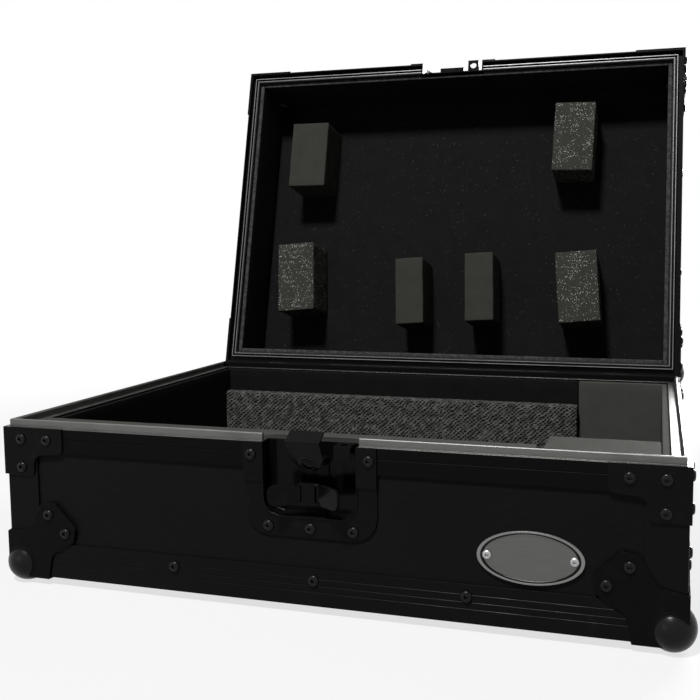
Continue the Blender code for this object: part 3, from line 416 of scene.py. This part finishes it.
def foam(name, dark, light, speckle=0.0, lint=0.0, cut_end=None):
    """Closed-cell foam: fine cells and a mottled tone.

    It may have bright grains, sparse lint, and paler ends where it is cut off at the lid's rim.
    """
    tree = Tree(name, roughness=0.93, specular=0.03)
    pores = tree.spread(tree.cells(1400)["Distance"], 0.15, 0.65)
    tone = tree.blend(tree.noise(55, 4), dark, light)
    tone = tree.blend(tree.math("MULTIPLY", pores, 0.35), tone, scaled(dark, 0.45))
    if speckle:
        tone = with_grains(tree, tone, speckle, 640, (0.52, 0.52, 0.49))
    if lint:
        tone = with_grains(tree, tone, lint, 520, (0.055, 0.055, 0.052))
    if cut_end:
        height = closed_place(tree)[2]
        at_rim = tree.spread(height, lid_low + 0.0008, lid_low + 0.0014, 1.0, 0.0)
        torn = tree.spread(tree.noise(220, 5), 0.35, 0.7)
        tone = tree.blend(at_rim, tone, tree.blend(torn, scaled(cut_end, 0.5), cut_end))
    tree.colour(tone)
    tree.bump(pores, 0.0003, 0.5)
    tree.bump(tree.noise(300, 5), 0.0004, 0.4)
    return tree.done()


def punched_foam(name):
    """Grey foam sheet, pressed with slanting rows of short slots, each painted near-black as the
    shade inside it.
    """
    tree = Tree(name, roughness=0.9, specular=0.03)
    pitch_across = 0.0054
    pitch_up = 0.0046
    x, y, z = tree.split(tree.place)
    uneven = tree.math("MULTIPLY", tree.math("SUBTRACT", tree.noise(110, 3), 0.5), 1.9)
    u = tree.math("ADD", tree.math("MULTIPLY", x, 1 / pitch_across), uneven)
    v = tree.math("MULTIPLY", tree.math("ADD", z, y), 1 / pitch_up)
    ridges = []
    for operation in ("ADD", "SUBTRACT"):
        row = tree.math("FRACT", tree.math(operation, u, v))
        ridges.append(tree.math("ABSOLUTE", tree.math("SUBTRACT", row, 0.5)))
    deep = tree.math("MAXIMUM", ridges[1], tree.math("MULTIPLY", ridges[0], 0.72))
    worn = tree.spread(tree.noise(210, 3), 0.36, 0.5, 0.35, 1.0)
    slot_and_shade = tree.math("MULTIPLY", tree.spread(deep, 0.2, 0.36, 1.0, 0.0), worn)
    mottle = tree.vary(tree.noise(140, 5))
    tone = tree.blend(mottle, (0.055, 0.056, 0.052), (0.15, 0.151, 0.141))
    # Painted shade: the slots are coloured near-black for the shade in their depth, while the bump
    # below sinks them only a little.
    tree.colour(tree.blend(slot_and_shade, tone, (0.009, 0.009, 0.009)))
    tree.bump(tree.math("SUBTRACT", 1.0, slot_and_shade), 0.0009, 0.9)
    tree.bump(tree.noise(1300, 3), 0.0002, 0.4)
    return tree.done()


lid_axes = (lid_opening, 0, 0)
lid_liner_tones = ((0.0085, 0.0085, 0.0085), (0.0135, 0.0135, 0.0135))
block_tones = ((0.036, 0.036, 0.031), (0.055, 0.055, 0.048))
finish = {
    "laminate": laminate("laminate_base", (0, 0, 0)),
    "lid_laminate": laminate("laminate_lid", lid_axes),
    "edging": anodised("edging_black"),
    "lid_edging": anodised("edging_black_lid", lid_axes),
    "rim": base_rim("rim_base"),
    "lid_rim": lid_rim("rim_lid"),
    "hardware": plated("hardware_black", 0.0009, 0.15, 0.06),
    "corner_sheet": plated("corner_sheet_black", 0.0012, 0.3, 0.045),
    "ball": plated("ball_black", 0.0, 0.28, 0.15),
    "rivet": rivet_steel("rivet_black"),
    "badge": badge_metal("badge_brushed"),
    "pin": pin_steel("pin_steel"),
    "grip": grip_rubber("grip_rubber"),
    "black_foam": foam("foam_black", (0.0075, 0.0075, 0.0075), (0.012, 0.012, 0.012)),
    "lid_foam": foam("foam_lid", *lid_liner_tones, lint=0.09, cut_end=(0.065, 0.065, 0.064)),
    "grey_foam": foam("foam_grey", (0.058, 0.058, 0.054), (0.080, 0.080, 0.073)),
    "block_foam": foam("foam_block", *block_tones),
    "speckled_foam": foam("foam_speckled", *block_tones, speckle=0.62),
    "punched_foam": punched_foam("foam_punched"),
}


def finish_of(name):
    lid = name.startswith("lid_")
    if name == "badge_plate":
        return "badge"
    if name.startswith("hinge_pin"):
        return "pin"
    if name == "handle_grip":
        return "grip"
    if name == "base_rim_frame":
        return "rim"
    if name in ("lid_rim_frame", "lid_edge_frame"):
        return "lid_rim"
    if name.endswith("_panel") or name == "lid_wall_frame":
        return "lid_laminate" if lid else "laminate"
    if name.endswith("_frame") or name.startswith("base_corner_post"):
        return "lid_edging" if lid else "edging"
    return "hardware"


for name, obj in nodes.items():
    obj.data.materials.clear()
    obj.data.materials.append(finish[finish_of(name)])


# Pieces made here


def new_piece(name, bm, material, body):
    mesh = bpy.data.meshes.new(name)
    bm.to_mesh(mesh)
    bm.free()
    mesh.materials.append(finish[material])
    mesh.shade_smooth()
    mesh.set_sharp_from_angle(angle=math.radians(38))
    obj = bpy.data.objects.new(name, mesh)
    bpy.context.scene.collection.objects.link(obj)
    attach(obj, body)
    return obj


def corner_places(z, upside_down=False):
    """The shut case's four corners at this height, each turned so that one shape fits all."""
    flip = Matrix.Rotation(math.pi, 4, Vector((1, 1, 0))) if upside_down else unturned
    for quarter, (sign_x, sign_y) in enumerate(((-1, -1), (1, -1), (1, 1), (-1, 1))):
        move = Matrix.Translation((sign_x * half_width, sign_y * half_depth, z))
        yield move @ Matrix.Rotation(quarter * math.pi / 2, 4, "Z") @ flip


# Points of a corner's three faces, from a and b along the face and how far out they stand
face_point = {
    "front": lambda a, b, out: Vector((a, -out, b)),
    "side": lambda a, b, out: Vector((-out, a, b)),
    "end": lambda a, b, out: Vector((a, b, -out)),
}


# Rivets

# The head's radius and height, from its foot over the dome and down to the stub
rivet_profile = [
    (0.0046, 0.0),
    (0.0046, 0.0004),
    (0.0044, 0.0010),
    (0.0039, 0.0017),
    (0.0031, 0.0022),
    (0.0021, 0.0024),
    (0.0015, 0.0022),
    (0.0012, 0.0013),
    (0.0011, 0.0003),
]
rivet_sides = 28


def add_rivet(bm, spot, normal, scale):
    """A pulled rivet's domed head, open in the middle down to its stub."""
    axis = normal.normalized()
    side = axis.orthogonal().normalized()
    other = axis.cross(side)
    rings = []
    for radius, height in rivet_profile:
        ring = []
        for step in range(rivet_sides):
            turn = 2 * math.pi * step / rivet_sides
            reach = side * math.cos(turn) + other * math.sin(turn)
            ring.append(bm.verts.new(spot + (reach * radius + axis * height) * scale))
        rings.append(ring)
    for inner, outer in zip(rings[1:], rings):
        for step in range(rivet_sides):
            after = (step + 1) % rivet_sides
            bm.faces.new((outer[step], outer[after], inner[after], inner[step]))
    bm.faces.new(rings[-1])
    bm.faces.new(reversed(rings[0]))


def rivets(name, stands, body, scale=1.0, material="rivet"):
    """One piece of rivet heads, at stands (spot, normal) of the shut case."""
    bm = bmesh.new()
    turn = lid_turn if body == "lid" else unturned
    for spot, normal in stands:
        add_rivet(bm, turn @ Vector(spot), turn.to_3x3() @ Vector(normal), scale)
    new_piece(name, bm, material, body)


def corner_stands(places, spots, faces):
    """Stands at the same spots (a, b) on these faces of each corner."""
    for place in places:
        for a, b in spots:
            for point in [face_point[face] for face in faces]:
                yield place @ point(a, b, hardware_proud), place.to_3x3() @ point(0, 0, 1)


ball_spots = [(0.040, 0.055), (0.056, 0.040)]
base_brace_spots = [(0.016, -0.010), (0.041, -0.010), (0.016, -0.034)]
lid_brace_spots = [(0.0115, -0.009), (0.041, -0.009), (0.0115, -0.033)]
brace_faces = ("front", "side")

base_stands = [
    *corner_stands(corner_places(underside_z), ball_spots, face_point),
    *corner_stands(corner_places(parting_z), base_brace_spots, brace_faces),
]
rivets("base_corner_rivets", base_stands, "case")

lid_stands = [
    *corner_stands(corner_places(lid_top, True), ball_spots, face_point),
    *corner_stands(corner_places(lid_bottom, True), lid_brace_spots, brace_faces),
]
rivets("lid_corner_rivets", lid_stands, "lid")


# Ball corners

ball_proud = 0.0074
ball_radius = 0.0176
ball_middle = ball_radius - ball_proud
sheet_under = 0.0003
tip_cut = 0.008
lobe_root = 0.038
lobe_bends = [((0.042, 0.020), 0.010), ((0.064, 0.033), 0.003), ((0.066, 0.046), 0.004)]

# The fillet between a lobe and the ball, and how far its hidden side lies in each of them
fillet = 0.004
fillet_steps = 6
fillet_turns = 40
sunk_in_sheet = 0.0005
sunk_in_ball = 0.003


def rounded(corners, steps=5):
    """The outline through corners (point, radius), each bend an arc."""
    outline = []
    befores = corners[-1:] + corners[:-1]
    afters = corners[1:] + corners[:1]
    for (point, radius), (before, _), (after, _) in zip(corners, befores, afters):
        spot = Vector(point)
        if not radius:
            outline.append(spot)
            continue
        to_before = (Vector(before) - spot).normalized()
        to_after = (Vector(after) - spot).normalized()
        half = to_before.angle(to_after) / 2
        reach = radius / math.tan(half)
        middle = spot + (to_before + to_after).normalized() * radius / math.sin(half)
        first = spot + to_before * reach - middle
        last = spot + to_after * reach - middle
        for step in range(steps + 1):
            outline.append(middle + first.slerp(last, step / steps) * radius)
    return outline


def lobe_outline(edge):
    """A lobe's outline on its face, with its straight sides this far from the corner's edges."""
    half = [((tip_cut, edge), 0.0), ((lobe_root, edge), 0.0)] + lobe_bends
    mirrored = [((b, a), radius) for (a, b), radius in reversed(half)]
    return rounded(half + mirrored)


def add_loops(bm, loops, closed=False):
    """Joins loops of points into a skin, and caps its ends unless it runs round."""
    rows = [[bm.verts.new(point) for point in loop] for loop in loops]
    afters = rows[1:] + rows[:1] if closed else rows[1:]
    for row, after in zip(rows, afters):
        for step in range(len(row)):
            other = (step + 1) % len(row)
            bm.faces.new((row[step], row[other], after[other], after[step]))
    if not closed:
        bm.faces.new(rows[0])
        bm.faces.new(reversed(rows[-1]))


def add_ball_corner(bm, place):
    """Three riveted lobes drawn out into a ball, with a fillet where each meets it.

    The fillet's profile is (reach, height) from the ball's middle, and it runs round the ball
    from one edge of the case to the other.
    """
    ring_height = ball_middle + hardware_proud + fillet
    ring_reach = math.sqrt((ball_radius + fillet) ** 2 - ring_height**2)
    lean = math.atan2(ring_height, ring_reach)
    start = -math.asin((ball_middle + hardware_proud) / ring_reach)
    end = math.pi / 2 - start
    profile = []
    for step in range(fillet_steps + 1):
        bend = math.pi + lean + (math.pi / 2 - lean) * step / fillet_steps
        reach = ring_reach + fillet * math.cos(bend)
        profile.append((reach, ring_height + fillet * math.sin(bend)))
    hidden_height = ring_height - fillet - sunk_in_sheet
    profile.append((ring_reach, hidden_height))
    profile.append(((ball_radius - sunk_in_ball) * math.cos(lean), hidden_height))

    for point in face_point.values():
        sheet = []
        for out in (sheet_under, hardware_proud):
            sheet.append([place @ point(a, b, out) for a, b in lobe_outline(-out)])
        add_loops(bm, sheet)
        sections = []
        for turn in range(fillet_turns + 1):
            along = start + (end - start) * turn / fillet_turns
            section = []
            for reach, height in profile:
                a = ball_middle + reach * math.cos(along)
                b = ball_middle + reach * math.sin(along)
                section.append(place @ point(a, b, height - ball_middle))
            sections.append(section)
        add_loops(bm, sections)

    made = bmesh.ops.create_uvsphere(bm, u_segments=56, v_segments=36, radius=ball_radius)
    move = place @ Matrix.Translation((ball_middle, ball_middle, ball_middle))
    bmesh.ops.transform(bm, matrix=move, verts=made["verts"])
    for vertex in made["verts"]:
        for face in vertex.link_faces:
            face.material_index = 1


corner_names = ["front_left", "front_right", "back_right", "back_left"]
for part, body, places, turn in (
    ("base", "case", corner_places(underside_z), unturned),
    ("lid", "lid", corner_places(lid_top, True), lid_turn),
):
    for name, place in zip(corner_names, places):
        bm = bmesh.new()
        add_ball_corner(bm, turn @ place)
        bmesh.ops.recalc_face_normals(bm, faces=bm.faces)
        obj = new_piece(f"{part}_corner_ball_{name}", bm, "corner_sheet", body)
        obj.data.materials.append(finish["ball"])
        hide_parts(f"{part}_ball_corner_{name}")


# Rivets along the edging and on the hardware

to_front = (0, -1, 0)
to_back = (0, 1, 0)
to_left = (-1, 0, 0)

# How far the rivets stand from the middle of what they hold
edging_x = 0.122
edging_y = 0.062
dish_near_x = 0.0487
dish_far_x = 0.0353
badge_pin_x = 0.032
hinge_rivet_x = 0.016
handle_rivet_y = 0.058
handle_rivet_z = 0.0325

# The faces that the dishes' and the handle's rivets stand on
dish_upper_y = -half_depth - hardware_proud
dish_lower_y = -half_depth + panel_inset - hardware_proud
handle_face_x = -half_width + panel_inset - hardware_proud


def edging_stands(z):
    for x in (-edging_x, 0.0, edging_x):
        for side in (-1, 1):
            yield (x, side * half_depth, z), (0, side, 0)
    for y in (-edging_y, edging_y):
        for side in (-1, 1):
            yield (side * half_width, y, z), (side, 0, 0)


def dish_stands(near_z, far_z):
    """Two beside the dish's opening, near the parting, and three past its end."""
    for side in (-1, 1):
        yield (latch_x + side * dish_near_x, dish_upper_y, near_z), to_front
    for offset in (-dish_far_x, 0.0, dish_far_x):
        yield (latch_x + offset, dish_lower_y, far_z), to_front


def badge_stands():
    for side in (-1, 1):
        yield (badge_x + side * badge_pin_x, dish_lower_y, badge_z), to_front


def hinge_stands(z):
    for side in (-1, 1):
        for offset in (-hinge_rivet_x, 0.0, hinge_rivet_x):
            yield (side * hinge_x + offset, half_depth + hardware_proud, z), to_back


def handle_stands():
    for y in (-handle_rivet_y, 0.0, handle_rivet_y):
        for rise in (-handle_rivet_z, handle_rivet_z):
            yield (handle_face_x, y, handle_z + rise), to_left


rivets("base_edging_rivets", edging_stands(0.019), "case")
rivets("lid_edging_rivets", edging_stands(lid_top - 0.0205), "lid")
rivets("latch_rivets", dish_stands(parting_z - 0.0104, parting_z - 0.067), "case")
rivets("badge_rivets", badge_stands(), "case", scale=0.8, material="pin")
rivets("keeper_rivets", dish_stands(lid_bottom + 0.0104, lid_bottom + 0.0378), "lid")


# The pressed ring on the hook's boss, on the front of its plate, which at rest is tipped forward

hook_pin = (latch_x, -0.1885, 0.1130)
hook_turn = Matrix.Translation(hook_pin) @ Matrix.Rotation(math.radians(31), 4, "X")
ring_middle = Vector((0, -0.00775, 0.0045))
ring_radius = 0.0066
ring_thickness = 0.0007
ring_steps = 40
ring_sides = 10

ring_loops = []
for step in range(ring_steps):
    turn = 2 * math.pi * step / ring_steps
    loop = []
    for side in range(ring_sides):
        lean = 2 * math.pi * side / ring_sides
        reach = ring_radius + ring_thickness * math.cos(lean)
        out = ring_thickness * math.sin(lean)
        spot = Vector((reach * math.cos(turn), out, reach * math.sin(turn)))
        loop.append(hook_turn @ (ring_middle + spot))
    ring_loops.append(loop)
bm = bmesh.new()
add_loops(bm, ring_loops, closed=True)
bmesh.ops.recalc_face_normals(bm, faces=bm.faces)
new_piece("latch_hook_ring", bm, "ball", "hook")

rivets("hinge_base_rivets", hinge_stands(parting_z - 0.014), "case", scale=0.8)
rivets("hinge_lid_rivets", hinge_stands(lid_bottom + 0.0145), "lid", scale=0.8)
rivets("handle_rivets", handle_stands(), "case", scale=0.9)


# Foam


def lines_along(length, edge, cell):
    """Places of the grid lines along one side: close at the rounded ends, then a cell apart."""
    middle = max(1, round((length - 2 * edge) / cell))
    ends = [0.0, edge * 0.13, edge * 0.5, edge]
    inner = [edge + (length - 2 * edge) * step / middle for step in range(1, middle)]
    return ends + inner + [length - place for place in reversed(ends)]


def add_soft_box(bm, low, high, edge, cell, wobble, seed, place=unturned, shape=None):
    """A box of foam with rounded edges and slightly uneven faces, inside low and high."""
    size = [top - bottom for bottom, top in zip(low, high)]
    lines = [lines_along(length, min(edge, length * 0.45), cell) for length in size]
    counts = [len(line) - 1 for line in lines]
    round_by = min(edge, min(size) * 0.45)
    made = {}

    def vertex(*index):
        if index in made:
            return made[index]
        raw = Vector([lines[axis][index[axis]] for axis in range(3)])
        held = Vector([min(max(raw[axis], round_by), size[axis] - round_by) for axis in range(3)])
        out = raw - held
        spot = held + out.normalized() * round_by if out.length > 0 else raw
        world = Vector(low) + spot
        if shape:
            world = shape(world)
        rough = noise.fractal(world * 55 + Vector((seed, 0, 0)), 1.0, 2.0, 4) * 0.5 + 0.5
        world -= out.normalized() * wobble * rough
        made[index] = bm.verts.new(place @ world)
        return made[index]

    for axis in range(3):
        one = (axis + 1) % 3
        two = (axis + 2) % 3
        for end in (0, counts[axis]):
            for i in range(counts[one]):
                for j in range(counts[two]):
                    corners = []
                    for step_i, step_j in ((0, 0), (1, 0), (1, 1), (0, 1)):
                        index = [0, 0, 0]
                        index[axis] = end
                        index[one] = i + step_i
                        index[two] = j + step_j
                        corners.append(vertex(*index))
                    bm.faces.new(corners if end else reversed(corners))


def foam_piece(name, node, boxes, surface, material, body="case"):
    """Replaces a foam node with boxes: (low, high) and what add_soft_box takes more.

    The surface is the edges' radius, the grid's cell and how far the faces are uneven.
    """
    bm = bmesh.new()
    for seed, (low, high, *rest) in enumerate(boxes):
        add_soft_box(bm, low, high, *surface, seed * 7.3, *rest)
    obj = new_piece(name, bm, material, body)
    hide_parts(node)


# The foam's outer limits in the base and the lid, where the bay ends, and the sheets' thickness
foam_x = 0.2671
foam_y = 0.1816
bay_end = 0.1707
compartment_start = 0.171
floor_low = 0.0093
bay_floor = 0.0193
wall_low = 0.0196
wall_top = 0.1259
ledge_top = 0.1306
pad_left = -0.2623
liner = 0.0045
side_foam = 0.0064
gap = 0.0002

# The pads in the base
rear_pad_front = 0.1633
rear_pad_back = 0.1768
rear_pad_top = 0.1000
front_pad_back = -0.1646
block_left = 0.175
block_depth = 0.049
pad_surface = (0.0022, 0.006, 0.0004)

foam_piece(
    "floor_pad",
    "base_floor_pad",
    [((-foam_x, -foam_y, floor_low), (foam_x, foam_y, bay_floor))],
    (0.0015, 0.012, 0.0003),
    "black_foam",
)
foam_piece(
    "bay_liner",
    "base_foam_liner",
    [
        ((-foam_x, -foam_y, wall_low), (-foam_x + liner, foam_y - liner - gap, wall_top)),
        ((-foam_x, foam_y - liner, wall_low), (bay_end, foam_y, wall_top)),
    ],
    (0.0013, 0.008, 0.0003),
    "black_foam",
)
foam_piece(
    "rear_pad",
    "rear_textured_pad",
    [((pad_left, rear_pad_front, wall_low), (bay_end, rear_pad_back, rear_pad_top))],
    pad_surface,
    "punched_foam",
)


dish_low = 0.0674
dish_back = -0.1800


def clear_of_latch(spot):
    """Leaves room behind the latch dish."""
    if abs(spot.x - latch_x) < recess_half and spot.z > dish_low:
        return Vector((spot.x, max(spot.y, dish_back), spot.z))
    return spot


foam_piece(
    "front_pad",
    "front_ledge_pad",
    [
        (
            (pad_left, -foam_y, wall_low),
            (bay_end, front_pad_back, ledge_top),
            unturned,
            clear_of_latch,
        )
    ],
    pad_surface,
    "grey_foam",
)
side_front = foam_x - side_foam
foam_piece(
    "compartment_foam",
    "compartment_liner",
    [
        ((side_front, -foam_y, wall_low), (foam_x, foam_y - side_foam - gap, wall_top)),
        ((compartment_start, foam_y - side_foam, wall_low), (foam_x, foam_y, wall_top)),
    ],
    (0.0016, 0.008, 0.0003),
    "grey_foam",
)
foam_piece(
    "compartment_block",
    "compartment_front_block",
    [((block_left, -foam_y, wall_low), (side_front - 0.0003, -foam_y + block_depth, ledge_top))],
    (0.002, 0.005, 0.0006),
    "grey_foam",
)

roof_foam = 0.0025
wall_foam = 0.005
lid_under = 0.2023
roof_low = lid_under - roof_foam
wall_high = roof_low - gap
wall_in = foam_x - wall_foam
side_inner = wall_in - gap
front_inner = -foam_y + wall_foam
back_inner = foam_y - wall_foam

# Room for the keeper dish: foam over it, and only a thin sheet behind it
keeper_left = latch_x - recess_half
keeper_right = latch_x + recess_half
over_left = keeper_left + gap
over_right = keeper_right - gap
keeper_clear = 0.1609
keeper_back = -0.1799

lid_sheets = [
    ((-foam_x, -foam_y, roof_low), (foam_x, foam_y, lid_under)),
    ((-foam_x, -foam_y, lid_low), (-wall_in, foam_y, wall_high)),
    ((wall_in, -foam_y, lid_low), (foam_x, foam_y, wall_high)),
    ((-side_inner, back_inner, lid_low), (side_inner, foam_y, wall_high)),
    ((-side_inner, -foam_y, lid_low), (keeper_left, front_inner, wall_high)),
    ((keeper_right, -foam_y, lid_low), (side_inner, front_inner, wall_high)),
    ((over_left, -foam_y, keeper_clear), (over_right, front_inner, wall_high)),
    ((over_left, keeper_back, lid_low), (over_right, front_inner, keeper_clear - gap)),
]
foam_piece(
    "lid_liner",
    "lid_foam_liner",
    [(low, high, lid_turn) for low, high in lid_sheets],
    (0.0012, 0.010, 0.0002),
    "lid_foam",
    "lid",
)

# Foam blocks in the lid: middle, size and turn of each, and whether its foam is speckled
lid_blocks = {
    "front_left": (-0.1975, -0.087, 0.051, 0.0875, 0, False),
    "front_right": (0.1515, -0.099, 0.050, 0.088, 1.5, True),
    "back_left": (-0.202, 0.079, 0.050, 0.090, -4.8, True),
    "back_middle_left": (-0.047, 0.096, 0.0365, 0.085, -4, False),
    "back_middle_right": (0.042, 0.090, 0.0365, 0.086, -3, False),
    "back_right": (0.162, 0.089, 0.050, 0.087, -5, True),
}
block_height = 0.052
block_top = roof_low - 0.0003
block_low = block_top - block_height
for name, (x, y, size_x, size_y, turn, speckled) in lid_blocks.items():
    turned = Matrix.Rotation(math.radians(turn), 4, "Z")
    place = lid_turn @ Matrix.Translation((x, y, 0)) @ turned
    low = (-size_x / 2, -size_y / 2, block_low)
    high = (size_x / 2, size_y / 2, block_top)
    foam_piece(
        "lid_block_" + name,
        "lid_foam_block_" + name,
        [(low, high, place)],
        (0.0018, 0.004, 0.0007),
        "speckled_foam" if speckled else "block_foam",
        "lid",
    )


# Camera, floor and light


def camera():
    """Stands where the photo's camera was, as fitted to the photo's edges, corners and rivets."""
    data = bpy.data.cameras.new("camera")
    data.lens = 44.87
    data.sensor_width = 36
    data.shift_x = -0.0999
    data.shift_y = -0.0383
    data.clip_start = 0.01
    obj = bpy.data.objects.new("camera", data)
    right = Vector((0.9645, 0.2641, -0.0049)).normalized()
    back = Vector((0.2634, -0.9605, 0.0892)).normalized()
    up = back.cross(right).normalized()
    right = up.cross(back)
    turn = Matrix((right, up, back)).transposed()
    obj.matrix_world = Matrix.Translation((0.2561, -0.8097, 0.2797)) @ turn.to_4x4()
    bpy.context.scene.collection.objects.link(obj)
    bpy.context.scene.camera = obj


def world():
    """White where it is seen, directly or in a reflection, and a dim light on the object."""
    background = bpy.data.worlds.new("studio")
    background.use_nodes = True
    tree = Graph(background.node_tree)
    shader = tree.nodes["Background"]
    light_level = 0.035
    tree.feed(shader.inputs["Color"], (1, 1, 1, 1))
    tree.feed(shader.inputs["Strength"], tree.math("MAXIMUM", tree.seen(), light_level))
    bpy.context.scene.world = background


def floor():
    """A pale floor that keeps the case's shadow and turns to the background's white further out."""
    bm = bmesh.new()
    bmesh.ops.create_grid(bm, x_segments=1, y_segments=1, size=30)
    mesh = bpy.data.meshes.new("floor")
    bm.to_mesh(mesh)
    bm.free()
    obj = bpy.data.objects.new("floor", mesh)
    obj.location.z = ground_z
    tree = Tree("floor_pale", roughness=1.0, specular=0.0)
    away = tree.add("ShaderNodeVectorMath", operation="LENGTH")
    tree.feed(away.inputs[0], tree.place)
    far = tree.spread(away.outputs["Value"], 0.45, 1.5)
    seen = tree.seen()
    no_shadow = tree.math("MULTIPLY", seen, far)
    tree.colour(tree.blend(no_shadow, (0.18, 0.18, 0.18), (0.0, 0.0, 0.0)))
    tree.feed(tree.shader.inputs["Emission Color"], (1, 1, 1, 1))
    glow = tree.math("MULTIPLY", seen, tree.spread(far, 0, 1, 0.72, 1.0))
    tree.feed(tree.shader.inputs["Emission Strength"], glow)
    mesh.materials.append(tree.done())
    bpy.context.scene.collection.objects.link(obj)


def area_light(name, spot, target, size, power):
    data = bpy.data.lights.new(name, "AREA")
    data.shape = "RECTANGLE"
    data.size, data.size_y = size
    data.energy = power
    obj = bpy.data.objects.new(name, data)
    obj.location = spot
    obj.rotation_euler = (Vector(spot) - Vector(target)).to_track_quat("Z", "Y").to_euler()
    bpy.context.scene.collection.objects.link(obj)


camera()
world()
floor()
area_light("key", (-0.2, -1.28, 2.3), (0, 0, 0.2), (0.32, 0.32), 74)
area_light("rear_right", (0.75, 1.5, 0.62), (0.25, -0.19, 0.13), (1.0, 0.5), 60)
area_light("front_fill", (-1.1, -1.9, 0.5), (-0.2, -0.2, 0.05), (0.7, 0.7), 3)
bpy.context.scene.view_settings.view_transform = "Standard"
